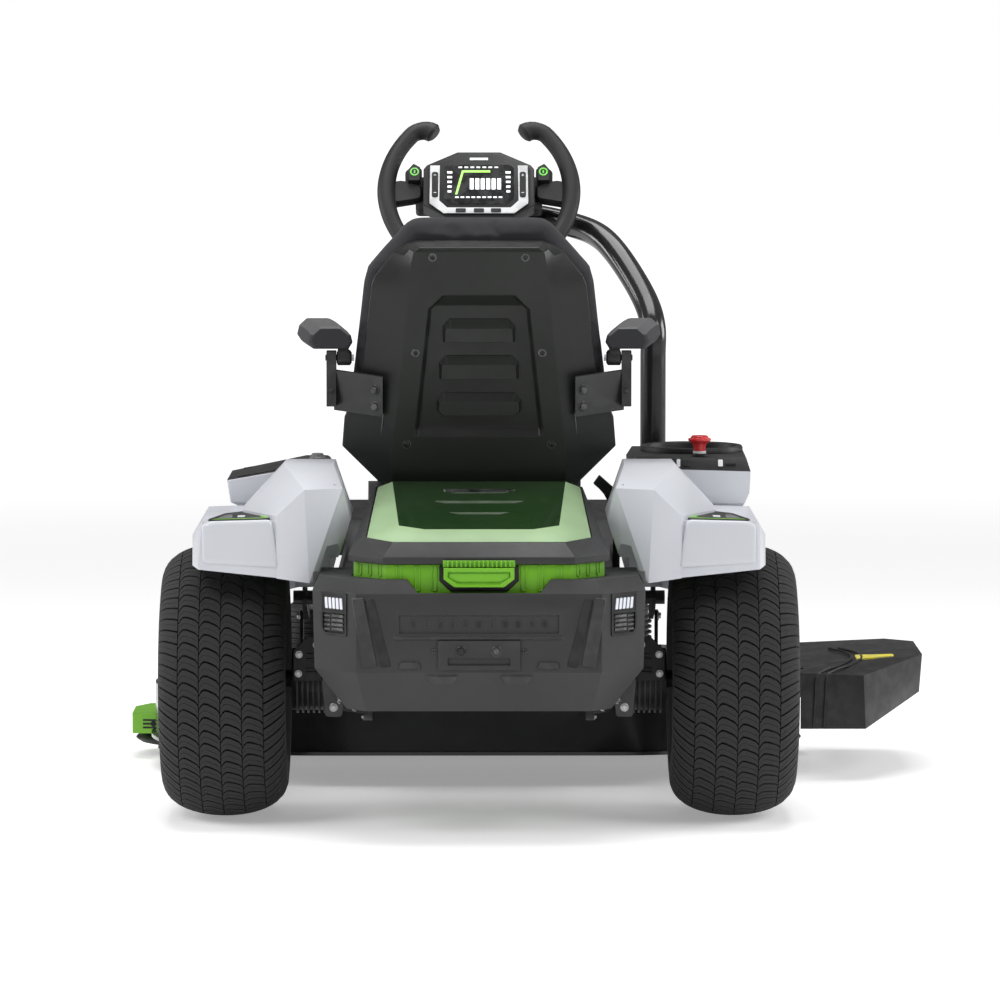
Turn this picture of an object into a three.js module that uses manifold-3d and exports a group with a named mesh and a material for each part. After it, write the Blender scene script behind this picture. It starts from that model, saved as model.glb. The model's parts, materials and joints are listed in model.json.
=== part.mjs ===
// Electric zero turn ride-on mower: steel frame on two driven rear wheels and two front casters, a hanging
// two-blade deck with a side discharge chute, a battery bay at the tail, and a seat with a wheel on a swing arm.
// Millimetres, +Z up, +Y forwards, +X to the rider's right. Shapes are laid out with x = 0 on the machine's centre
// plane, y = 0 on the rear axle and z = 0 on the ground. The exported group moves them so that the origin is at the
// middle of the machine's footprint, on the ground.

import * as THREE from "three";
import { ConvexGeometry } from "three/addons/geometries/ConvexGeometry.js";
import { mergeVertices } from "three/addons/utils/BufferGeometryUtils.js";
import Module from "manifold-3d";

// ---------------------------------------------------------------- driving dimensions

const REACH = { left: -625, right: 787, tail: -370, nose: 1480 };
const REAR_WHEEL = { x: 423, radius: 228, halfWidth: 106, bead: 104, wall: 9, sides: 24, web: 25, bore: 15.5 };
const FRONT_WHEEL = { radius: 140, halfWidth: 51, bead: 66, wall: 7, sides: 20, web: -5, bore: 8.5 };
const CASTER = { x: 430, y: 1330, trail: 70 };
const RAIL = { inner: 130, outer: 170, bottom: 270, top: 310 };
const DECK = { x: -20, y: 640, radius: 292, lip: 8, bottom: 53, shoulder: 150, top: 187, wall: 5 };
const BLADE = { spacing: 534, halfLength: 265, z: 70 };
const LIFT_SHAFT = { y: 290, z: 335, radius: 12, arm: 112, restAngle: -20 };
const SEAT_BACK = { y: 70, z: 548, lean: 15 };
const STEERING = { y: 600, z: 1025, lean: 30, rimRadius: 164, rimSection: 15 };
const ARM_PIVOT = { x: 304, y: 445, z: 545 };
const LID = { tail: -346, knee: -290, front: 10, z: 454, rise: 0.23 };
const GAP = 0.3;

const rad = THREE.MathUtils.degToRad;

// ---------------------------------------------------------------- finishes

const finish = (color, roughness, metalness = 0) => new THREE.MeshStandardMaterial({ color, roughness, metalness });
const FINISH = {
  blackSteel: finish("#1c1d1f", 0.45, 0.3),
  whiteShell: finish("#d6d8de", 0.4),
  darkPlastic: finish("#37383a", 0.6),
  blackPlastic: finish("#1b1c1d", 0.55),
  greenPlastic: finish("#6fbf2a", 0.4),
  tintedWindow: finish("#2c5a24", 0.12),
  rubber: finish("#191a1b", 0.85),
  vinyl: finish("#232425", 0.75),
  bareSteel: finish("#8e9195", 0.35, 0.9),
  redPlastic: finish("#c81e24", 0.35),
  lamp: finish("#c9ccd2", 0.2),
};

// ---------------------------------------------------------------- solids

const wasm = await Module();
wasm.setup();

// A closed geometry as a manifold-3d solid, turned right side out if its faces point inwards.
function solidOf(geometry) {
  const bare = geometry.index ? geometry.toNonIndexed() : geometry.clone();
  bare.deleteAttribute("normal");
  bare.deleteAttribute("uv");
  const merged = mergeVertices(bare, 1e-3);
  const mesh = (triVerts) =>
    new wasm.Mesh({ numProp: 3, vertProperties: merged.attributes.position.array, triVerts });
  const triVerts = new Uint32Array(merged.index.array);
  const made = new wasm.Manifold(mesh(triVerts));
  return made.volume() > 0 ? made : new wasm.Manifold(mesh(triVerts.reverse()));
}

function geometryOf(solid) {
  const mesh = solid.getMesh();
  const positions = new THREE.BufferAttribute(new Float32Array(mesh.vertProperties), mesh.numProp);
  const geometry = new THREE.BufferGeometry().setAttribute("position", positions);
  geometry.setIndex(new THREE.BufferAttribute(new Uint32Array(mesh.triVerts), 1));
  geometry.computeVertexNormals();
  return geometry;
}

const join = (...shapes) => geometryOf(shapes.map(solidOf).reduce((a, b) => a.add(b)));
const cut = (shape, ...tools) => geometryOf(tools.map(solidOf).reduce((a, b) => a.subtract(b), solidOf(shape)));

// A box between two values on each axis.
function box(x0, x1, y0, y1, z0, z1) {
  const made = new THREE.BoxGeometry(x1 - x0, y1 - y0, z1 - z0);
  return made.translate((x0 + x1) / 2, (y0 + y1) / 2, (z0 + z1) / 2);
}

// The convex solid around [x, y, z] points.
const hull = (points) => new ConvexGeometry(points.map((p) => new THREE.Vector3(...p)));

// The same points on both sides of the centre plane.
const bothSides = (points) => points.flatMap(([x, y, z]) => [[x, y, z], [-x, y, z]]);

// Rods along each axis, from one end to the other, at the two other coordinates in x, y, z order.
function rodX(radius, x0, x1, y, z, sides = 16) {
  const made = new THREE.CylinderGeometry(radius, radius, x1 - x0, sides).rotateZ(-Math.PI / 2);
  return made.translate((x0 + x1) / 2, y, z);
}

function rodY(radius, y0, y1, x, z, sides = 12) {
  return new THREE.CylinderGeometry(radius, radius, y1 - y0, sides).translate(x, (y0 + y1) / 2, z);
}

function rodZ(radius, z0, z1, x, y, sides = 20) {
  const made = new THREE.CylinderGeometry(radius, radius, z1 - z0, sides).rotateX(Math.PI / 2);
  return made.translate(x, y, (z0 + z1) / 2);
}

// A ring of points around a circle that lies across the X axis.
function ringX(x, radius, y, z, count = 10) {
  return Array.from({ length: count }, (_, i) => {
    const turn = (i / count) * 2 * Math.PI;
    return [x, y + radius * Math.cos(turn), z + radius * Math.sin(turn)];
  });
}

// A [radius, along] profile spun round the X axis or the Z axis. Its flats, not its corners, lie at the radii
// and one flat faces straight down, so a wheel stands on a flat.
function turned(profile, axis, sides) {
  const grow = 1 / Math.cos(Math.PI / sides);
  const points = [...profile, profile[0]].map(([r, along]) => new THREE.Vector2(r * grow, along));
  const made = new THREE.LatheGeometry(points, sides, Math.PI / sides, 2 * Math.PI);
  return axis === "x" ? made.rotateZ(-Math.PI / 2) : made.rotateX(Math.PI / 2);
}

// A round bar of the given radius along a smooth curve through [x, y, z] points.
function bent(points, radius, steps, sides = 10) {
  const path = new THREE.CatmullRomCurve3(points.map((p) => new THREE.Vector3(...p)), false, "centripetal");
  const section = new THREE.Shape();
  for (let i = 0; i < sides; i += 1) {
    const turn = (i / sides) * 2 * Math.PI;
    const place = [radius * Math.cos(turn), radius * Math.sin(turn)];
    i ? section.lineTo(...place) : section.moveTo(...place);
  }
  return new THREE.ExtrudeGeometry(section, { extrudePath: path, steps, curveSegments: sides });
}

// A flat outline of [x, z] points given for one side, mirrored, and made solid between two y values.
function plaque(half, y0, y1) {
  const outline = [...half, ...half.map(([x, z]) => [-x, z]).reverse()];
  const shape = new THREE.Shape(outline.map(([x, z]) => new THREE.Vector2(x, z)));
  const made = new THREE.ExtrudeGeometry(shape, { depth: y1 - y0, bevelEnabled: false });
  return made.rotateX(Math.PI / 2).translate(0, y1, 0);
}

// ---------------------------------------------------------------- scene helpers

const mower = new THREE.Group();

function place(name, geometry, material, parent = mower) {
  const mesh = new THREE.Mesh(geometry, material);
  mesh.name = name;
  parent.add(mesh);
  return mesh;
}

// right_NAME as given, and left_NAME as its mirror image.
function placePair(name, geometry, material, parent = mower) {
  place(`right_${name}`, geometry, material, parent);
  place(`left_${name}`, geometry, material, parent).scale.x = -1;
}

function groupAt(x, y, z, parent = mower) {
  const group = new THREE.Group();
  group.position.set(x, y, z);
  parent.add(group);
  return group;
}

// ---------------------------------------------------------------- frame

function frame() {
  const tail = -345;
  const nose = 1360;
  const crossbars = [-280, 80, 520, 930, 1340];
  const axlePlate = { halfLength: 95, bottom: 185, thick: 8 };
  const block = { halfLength: 20, top: 356, bore: LIFT_SHAFT.radius + 0.6 };
  const rails = [-1, 1].flatMap((side) => {
    const [inner, outer] = [side * RAIL.inner, side * RAIL.outer].sort((a, b) => a - b);
    const plate = side > 0 ? [RAIL.outer - 1, RAIL.outer + axlePlate.thick] : [-RAIL.outer - axlePlate.thick, 1 - RAIL.outer];
    return [
      box(inner, outer, tail, nose, RAIL.bottom, RAIL.top),
      box(...plate, -axlePlate.halfLength, axlePlate.halfLength, axlePlate.bottom, RAIL.top),
      box(inner, outer, LIFT_SHAFT.y - block.halfLength, LIFT_SHAFT.y + block.halfLength, RAIL.top - 2, block.top),
    ];
  });
  const bars = crossbars.map((y) => box(-RAIL.inner - 2, RAIL.inner + 2, y - 20, y + 20, RAIL.bottom + 5, RAIL.top - 5));
  const bore = rodX(block.bore, -RAIL.outer - 5, RAIL.outer + 5, LIFT_SHAFT.y, LIFT_SHAFT.z);
  place("frame", cut(join(...rails, ...bars), bore), FINISH.blackSteel);
}

function frontAxleBeam() {
  const housing = { radius: 34, bottom: 306, top: 398, bore: 16.6 };
  const beam = box(-CASTER.x + 30, CASTER.x - 30, CASTER.y - 30, CASTER.y + 30, RAIL.top + GAP, 366);
  const housings = [-1, 1].map((s) => rodZ(housing.radius, housing.bottom, housing.top, s * CASTER.x, CASTER.y, 16));
  const bores = [-1, 1].map((s) => rodZ(housing.bore, 300, 405, s * CASTER.x, CASTER.y, 16));
  place("front_axle_beam", cut(join(beam, ...housings), ...bores), FINISH.blackSteel);
}

// The footwell floor, its kicked-up toe board and the ears that the two pedals turn in.
const PEDAL = { y: 1250, z: 345, boss: 8, pin: 4, right: 145, left: -165, halfWidth: 46 };

function floorPan() {
  const halfWidth = 255;
  const [start, bend, top] = [714, 1235, RAIL.top + 1];
  const thick = 6;
  const profile = [[start, top], [bend, top], [1295, 372], [REACH.nose, 402 - thick]];
  const strips = profile.slice(1).map(([y1, z1], i) => {
    const [y0, z0] = profile[i];
    const ends = [[y0, z0], [y0, z0 + thick], [y1, z1], [y1, z1 + thick]];
    return hull(bothSides(ends.map(([y, z]) => [halfWidth, y, z])));
  });
  const lips = [-1, 1].map((s) => {
    const [x0, x1] = [s * halfWidth, s * (halfWidth - thick)].sort((a, b) => a - b);
    return box(x0, x1, start, bend, top, top + 26);
  });
  const ears = [PEDAL.left, PEDAL.right].flatMap((x) =>
    [-1, 1].map((s) => {
      const middle = x + s * (PEDAL.halfWidth + 5);
      return box(middle - 3, middle + 3, PEDAL.y - 11, PEDAL.y + 11, top + 4, PEDAL.z + 9);
    }),
  );
  const pinHole = rodX(PEDAL.pin + 0.5, -halfWidth + 10, halfWidth - 10, PEDAL.y, PEDAL.z, 12);
  place("floor_pan", cut(join(...strips, ...lips, ...ears), pinHole), FINISH.blackPlastic);
}

function pedals() {
  const blade = { length: 116, thick: 10, lean: 68 };
  for (const [name, x] of [["drive_pedal", PEDAL.right], ["brake_pedal", PEDAL.left]]) {
    const group = groupAt(x, PEDAL.y, PEDAL.z);
    const pad = box(-PEDAL.halfWidth, PEDAL.halfWidth, 0, blade.length, -blade.thick / 2, blade.thick / 2);
    const boss = rodX(PEDAL.boss, -PEDAL.halfWidth, PEDAL.halfWidth, 0, 0, 12);
    const pin = rodX(PEDAL.pin, -PEDAL.halfWidth - 9, PEDAL.halfWidth + 9, 0, 0, 12);
    place(name, join(pad.rotateX(rad(blade.lean)), boss, pin), FINISH.blackPlastic, group);
  }
}

// ---------------------------------------------------------------- wheels

// The hollow C of a tubeless tyre, from bead to bead.
function tyre({ radius, halfWidth: w, bead, wall, sides }) {
  const h = radius - bead;
  const outer = [[0, 0.83], [0.12, 0.84], [0.34, 0.97], [0.62, 1], [0.86, 0.92], [0.965, 0.78], [1, 0.56]];
  const inner = [[0.76, 0.87], [0.3, 0.86], [0, 0.73]];
  const side = outer.map(([t, s]) => [bead + t * h, s * w]);
  const lining = [[radius - wall, 0.6 * w], ...inner.map(([t, s]) => [bead + t * h, s * w])];
  const mirror = (points) => points.map(([r, x]) => [r, -x]).reverse();
  return turned([...mirror(side).reverse(), ...side.reverse(), ...lining.reverse(), ...mirror(lining).reverse()], "x", sides);
}

// A pressed rim: two bead seats, a barrel, and a web disc with a hub sleeve on the axle.
function rim({ halfWidth, bead, web, bore, sides }, hubRadius, sleeve) {
  const seat = 0.83 * halfWidth + 1;
  const edge = seat + 3.6;
  const thick = 8;
  const profile = [
    [bead + 8, -edge], [bead - 0.4, -seat], [bead - 0.4, seat], [bead + 8, edge], [bead + 3, edge],
    [bead - thick, seat - 5], [bead - thick, web + thick], [bore, web + thick], [bore, web - sleeve],
    [hubRadius, web - sleeve], [hubRadius, web], [bead - thick, web], [bead - thick, 5 - seat], [bead + 3, -edge],
  ];
  return turned(profile, "x", sides);
}

function rearWheels() {
  for (const [side, sign] of [["right", 1], ["left", -1]]) {
    const wheel = groupAt(sign * REAR_WHEEL.x, 0, REAR_WHEEL.radius);
    wheel.scale.x = sign;
    place(`${side}_rear_tyre`, tyre(REAR_WHEEL), FINISH.rubber, wheel);
    place(`${side}_rear_rim`, rim(REAR_WHEEL, 40, 30), FINISH.blackSteel, wheel);
  }
}

// One caster: a fork that swivels in the axle beam, and a wheel that trails behind the swivel.
function casters() {
  const leg = { inner: 54, outer: 62, boss: 22 };
  const plate = { bottom: 290, top: 298, halfLength: 45 };
  const { radius } = FRONT_WHEEL;
  for (const [side, sign] of [["right", 1], ["left", -1]]) {
    const caster = groupAt(sign * CASTER.x, CASTER.y, 0);
    const legs = [-1, 1].map((s) =>
      hull([leg.inner, leg.outer].flatMap((x) => [
        ...ringX(s * x, leg.boss, -CASTER.trail, radius),
        [s * x, -plate.halfLength, plate.top],
        [s * x, plate.halfLength, plate.top],
      ])),
    );
    const fork = join(
      box(-leg.outer, leg.outer, -plate.halfLength, plate.halfLength, plate.bottom, plate.top),
      ...legs,
      rodX(8, -leg.outer, leg.outer, -CASTER.trail, radius),
      rodZ(26, plate.top - 1, 305.5, 0, 0, 16),
      rodZ(16, plate.top, 402, 0, 0, 16),
      rodZ(24, 399, 411, 0, 0, 16),
    );
    place(`${side}_caster_fork`, fork, FINISH.blackSteel, caster);
    const wheel = groupAt(0, -CASTER.trail, radius, caster);
    place(`${side}_front_tyre`, tyre(FRONT_WHEEL), FINISH.rubber, wheel);
    place(`${side}_front_rim`, rim(FRONT_WHEEL, 20, 30), FINISH.blackSteel, wheel);
  }
}

// Gearmotor on each axle plate: flange, gear case, motor can and the stub axle that carries the rim.
function driveMotors() {
  const face = RAIL.outer + 8 + GAP;
  const z = REAR_WHEEL.radius;
  const strut = [[262, 232], [308, 232], [308, 282], [286, 304], [262, 304]];
  const motor = join(
    rodX(70, face, 192, 0, z, 20),
    hull([[190, -60, 176], [250, -52, 184], [190, 60, 176], [250, 52, 184], [190, -60, 296], [250, -44, 286], [190, 60, 296], [250, 44, 286]]),
    rodX(52, 190, 312, 0, z, 20),
    hull(strut.flatMap(([x, zz]) => [[x, -62, zz], [x, -54, zz]])),
    box(262, 290, -60, -30, 236, 262),
    rodX(15, 300, REAR_WHEEL.x + REAR_WHEEL.web + 6, 0, z, 16),
  );
  placePair("drive_motor", motor, FINISH.blackPlastic);
}

// ---------------------------------------------------------------- white bodywork and consoles

// A convex shell tool: the same points drawn in towards their middle by the wall's thickness, and dropped at
// the bottom so that the hollow is open underneath.
function hollow(points, wall, drop, floor) {
  const mid = points.reduce((m, p) => p.map((v, i) => m[i] + v / points.length), [0, 0, 0]);
  const reach = mid.map((m, i) => Math.max(...points.map((p) => Math.abs(p[i] - m))));
  return hull(points.map((p) => {
    const q = p.map((v, i) => mid[i] + (v - mid[i]) * (1 - wall / reach[i]));
    return p[2] <= floor ? [q[0], q[1], p[2] - drop] : q;
  }));
}

function fenders() {
  const tower = [
    [276, -232, 412], [236, -180, 428], [236, 50, 428], [330, -214, 418], [330, 50, 430],
    [211, -150, 507], [211, 50, 507], [284, -228, 564], [223, -196, 564], [330, -214, 520],
    [240, -80, 594], [322, -80, 594], [240, 50, 593], [322, 50, 593], [392, -60, 517], [392, 50, 517],
  ];
  const wing = [
    [320, -214, 418], [458, -208, 432], [469, -176, 436], [320, 110, 418], [469, 110, 434],
    [330, -206, 512], [452, -200, 509], [459, -196, 502], [469, -166, 486], [330, 110, 512], [456, 110, 508], [469, 110, 486],
  ];
  const flank = [
    [252, 44, 380], [469, 230, 290], [252, 520, 380], [469, 540, 290], [330, 44, 380], [469, 44, 430],
    [252, 44, 497], [397, 44, 497], [466, 44, 474], [252, 470, 497], [397, 470, 497], [466, 440, 418],
    [262, 562, 400], [462, 562, 380], [300, 562, 330], [462, 562, 330],
  ];
  const arch = rodX(252, 308, 480, 0, REAR_WHEEL.radius, 28);
  const body = cut(
    join(hull(tower), hull(wing), hull(flank)),
    hollow(tower, 5, 60, 431),
    hollow(wing, 5, 60, 435),
    hollow(flank, 6, 60, 381),
    box(190, 270.5, -300, -149, 380, 431),
    arch,
  );
  placePair("fender", body, FINISH.whiteShell);
}

// Where the cup holder sinks into the right console: a wide tray with a cup well in its floor.
const CUP = { x: 366, y: 300, rim: 88, tray: 80, well: 43, wall: 3, top: 597, trayFloor: 556, wellFloor: 508 };

function consoles() {
  const seat = 497 + GAP;
  const right = [
    [268, 130, seat], [440, 130, seat], [268, 398, seat], [454, 398, seat],
    [256, 118, 512], [449, 118, 512], [457, 118, 530], [256, 408, 512], [466, 408, 512],
    [256, 118, 572], [459, 118, 566], [256, 408, 572], [466, 408, 566],
    [266, 128, 588], [452, 130, 588], [266, 400, 588], [456, 400, 588],
  ];
  const clevis = [ARM_PIVOT.x - 39, ARM_PIVOT.x + 29].map((x) =>
    hull([x, x + 10].flatMap((at) => [
      ...ringX(at, 26, ARM_PIVOT.y, ARM_PIVOT.z), [at, 410, seat], [at, 480, seat],
    ])),
  );
  const body = cut(
    join(hull(right), box(262, 346, 400, 480, seat, 506), ...clevis),
    rodZ(CUP.tray + 4.5, CUP.trayFloor - 4.5, 600, CUP.x, CUP.y, 16),
    rodZ(CUP.well + 3, CUP.wellFloor - 4.5, 600, CUP.x, CUP.y, 16),
    rodX(12.6, 250, 360, ARM_PIVOT.y, ARM_PIVOT.z),
  );
  place("right_console", body, FINISH.whiteShell);
  const left = [
    [-268, 130, seat], [-388, 140, seat], [-268, 398, seat], [-388, 398, seat],
    [-256, 118, 506], [-420, 118, 514], [-256, 408, 506], [-422, 408, 512],
    [-256, 118, 568], [-300, 118, 574], [-426, 118, 552], [-256, 408, 566], [-300, 408, 572], [-430, 408, 545],
    [-262, 118, 574], [-262, 408, 572],
  ];
  place("left_console", hull(left), FINISH.whiteShell);
  const cup = turned([
    [CUP.rim, 588 + GAP], [CUP.rim, CUP.top], [CUP.tray - 2, CUP.top], [CUP.tray - CUP.wall, CUP.top - 8],
    [CUP.tray - CUP.wall, CUP.trayFloor], [CUP.well - CUP.wall, CUP.trayFloor], [CUP.well - CUP.wall, CUP.wellFloor],
    [6, CUP.wellFloor], [6, CUP.wellFloor - 3.5], [CUP.well, CUP.wellFloor - 3.5], [CUP.well, CUP.trayFloor - 3.5],
    [CUP.tray, CUP.trayFloor - 3.5], [CUP.tray, 588 + GAP],
  ], "z", 16);
  place("cup_holder", cup, FINISH.blackPlastic).position.set(CUP.x, CUP.y, 0);
}

// The mushroom-headed blade switch on the right console and the small rotary control on the left one.
function consoleControls() {
  const knob = turned([[0.2, 0], [11, 0], [10, 14], [9, 20], [19, 26], [19.5, 31], [13, 35], [0.2, 36]], "z", 16);
  place("stop_knob", knob, FINISH.redPlastic).position.set(374, 158, 588.8);
  const dial = new THREE.CylinderGeometry(9, 13, 8, 8).rotateX(Math.PI / 2);
  place("speed_dial", dial, FINISH.blackPlastic).position.set(-278, 300, 577.6);
}

// ---------------------------------------------------------------- tail: battery bay, bumper and lid

// Half outlines in plan, [x, y], of things that follow the bay's coffin shape, drawn in by an inset.
const bayOutline = (inset) => [
  [154 - inset * 0.6, LID.tail + inset], [211 - inset, -290 + inset * 0.6], [178 - inset, LID.front - inset],
];
// The seam under the lid: level at the tail, then rising to the front.
const lidZ = (y) => LID.z + LID.rise * Math.max(0, y - LID.knee);

function battery() {
  const floor = RAIL.top + 0.5;
  const outer = hull(bothSides(bayOutline(8).flatMap(([x, y]) => [[x, y, floor], [x, y, 560]])));
  const inner = hull(bothSides(bayOutline(13).flatMap(([x, y]) => [[x, y, floor + 5], [x, y, 600]])));
  const aboveSeam = hull(bothSides([-400, LID.knee, 60].flatMap((y) => [[300, y, lidZ(y) - 1], [300, y, 620]])));
  place("battery_bay", cut(outer, inner, aboveSeam), FINISH.greenPlastic);
  const pack = { halfWidth: 52, tail: -306, front: -66, bottom: floor + 5 + GAP, top: 440 };
  const middles = [-112, 0, 112];
  middles.forEach((x, i) => {
    const tail = i === 1 ? pack.tail : pack.tail + 34;
    const body = hull([-1, 1].flatMap((s) => [
      [s * pack.halfWidth, tail, pack.bottom], [s * pack.halfWidth, pack.front, pack.bottom],
      [s * pack.halfWidth, tail, pack.top - 18], [s * pack.halfWidth, pack.front, pack.top - 18],
      [s * (pack.halfWidth - 12), tail + 14, pack.top], [s * (pack.halfWidth - 12), pack.front - 14, pack.top],
    ]));
    place(`battery_${i + 1}`, body, FINISH.darkPlastic).position.x = x;
  });
}

// The cheek of the bumper that each tail light looks out of runs at an angle between two plan points.
const CHEEK = { from: [197, -366], to: [269, -296], z: 372, halfWidth: 25, halfHeight: 32 };

function tailLightFrame() {
  const group = new THREE.Group();
  const [[x0, y0], [x1, y1]] = [CHEEK.from, CHEEK.to];
  group.position.set((x0 + x1) / 2, (y0 + y1) / 2, CHEEK.z);
  group.rotation.z = Math.atan2(y1 - y0, x1 - x0);
  group.updateMatrix();
  return group;
}

function rearBumper() {
  const ring = (z, [cx, cy], [kx, ky], front) => [[cx, cy, z], [kx, ky, z], [kx, front, z]];
  const outer = bothSides([
    ...ring(215, [182, -334], [214, -300], -150), ...ring(281, [197, -366], [262, -300], -150),
    ...ring(281, CHEEK.from, [266, -299], -150), ...ring(408, CHEEK.from, CHEEK.to, -150),
    ...ring(430, [188, -350], [258, -282], -150),
  ]);
  const inner = outer.map(([x, y, z]) => [x * 0.978, y <= -200 ? y + 5 : y + 60, z < 300 ? z + 5 : z - 5]);
  const bayHole = hull(bothSides(bayOutline(4).flatMap(([x, y]) => [[x, y, 330], [x, y, 480]])));
  const notch = hull(bothSides([[98, -400, 409], [98, -330, 409], [124, -400, 440], [124, -330, 440]]));
  const band = hull(bothSides([[130, -370, 343], [130, -370, 375], [127, -363, 345], [127, -363, 373]]));
  const holes = Array.from({ length: 11 }, (_, i) => rodY(4.6, -375, -350, (i - 5) * 21, 359, 6));
  const light = tailLightFrame();
  const pocket = (mirror) => {
    const made = box(-CHEEK.halfWidth - 0.5, CHEEK.halfWidth + 0.5, -25, 30, -CHEEK.halfHeight - 0.5, CHEEK.halfHeight + 0.5);
    return made.applyMatrix4(light.matrix).scale(mirror, 1, 1);
  };
  const shell = cut(hull(outer), hull(inner), bayHole, notch, band, ...holes, pocket(1), pocket(-1));
  place("rear_bumper", shell, FINISH.darkPlastic);
  const slot = box(-50, 50, -375, -360, 293.5, 305.5);
  place("hitch_plate", cut(box(-66, 66, REACH.tail, -366 - GAP, 286, 333), slot), FINISH.blackSteel);
}

function tailLights() {
  const { halfWidth, halfHeight } = CHEEK;
  const body = join(
    box(-halfWidth, halfWidth, -1, 16, 2, halfHeight),
    box(-halfWidth, halfWidth, 1, 16, -halfHeight, 3),
    ...[0, 1, 2, 3].map((i) => box(-halfWidth + 2, halfWidth - 2, -1, 2, -27 + i * 7.5, -24 + i * 7.5)),
  );
  for (const [side, sign] of [["right", 1], ["left", -1]]) {
    const holder = new THREE.Group();
    holder.scale.x = sign;
    mower.add(holder);
    const frameOfLight = tailLightFrame();
    holder.add(frameOfLight);
    place(`${side}_tail_light`, body, FINISH.lamp, frameOfLight);
  }
}

function lid() {
  const raise = (outline, up) => bothSides(outline.map(([x, y]) => [x, y, lidZ(y) + up]));
  const at = (inset, up) => raise([...bayOutline(inset).slice(0, 2), [198 - inset, 16 - inset]], up);
  const ringShape = cut(
    hull([...raise(bayOutline(0), 0), ...raise(bayOutline(0), 11), ...at(26, 33)]),
    hull([...at(28, -20), ...at(28, 80)]),
  );
  place("battery_lid", ringShape, FINISH.darkPlastic);
  const crown = [[88, -285, 505], [130, -262, 509], [143, -44, 563]];
  const dome = cut(
    hull([...at(29, 12), ...at(29, 33), ...bothSides(crown)]),
    hull([...at(33, -20), ...at(33, 30), ...bothSides(crown.map(([x, y, z]) => [x - 3, y + (y < -200 ? 3 : -4), z - 4]))]),
  );
  place("lid_window", dome, FINISH.tintedWindow);
  const grip = [[40, -31], [57, -18], [57, 0]];
  const bezel = plaque(grip, -12, 0);
  const recess = plaque([[34, -26], [50, -15], [50, -6]], -20, -6);
  const latch = place("lid_handle", cut(bezel, recess), FINISH.greenPlastic);
  latch.position.set(0, LID.tail - 1, 449);
}

// ---------------------------------------------------------------- cutting deck

const bladeX = [DECK.x - BLADE.spacing / 2, DECK.x + BLADE.spacing / 2];

// A racetrack outline round both blade circles, grown by an amount, as a plate between two heights, with a
// sloped shoulder above it where one is asked for.
function racetrack(grow, z0, z1, shoulder = 0) {
  const shape = new THREE.Shape();
  const r = DECK.radius + grow;
  shape.absarc(bladeX[1], DECK.y, r, -Math.PI / 2, Math.PI / 2, false);
  shape.absarc(bladeX[0], DECK.y, r, Math.PI / 2, (3 * Math.PI) / 2, false);
  const slope = {
    bevelEnabled: shoulder > 0, bevelThickness: shoulder, bevelSize: 40, bevelOffset: -40, bevelSegments: 1,
  };
  return new THREE.ExtrudeGeometry(shape, { depth: z1 - z0, curveSegments: 14, ...slope }).translate(0, 0, z0);
}

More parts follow.
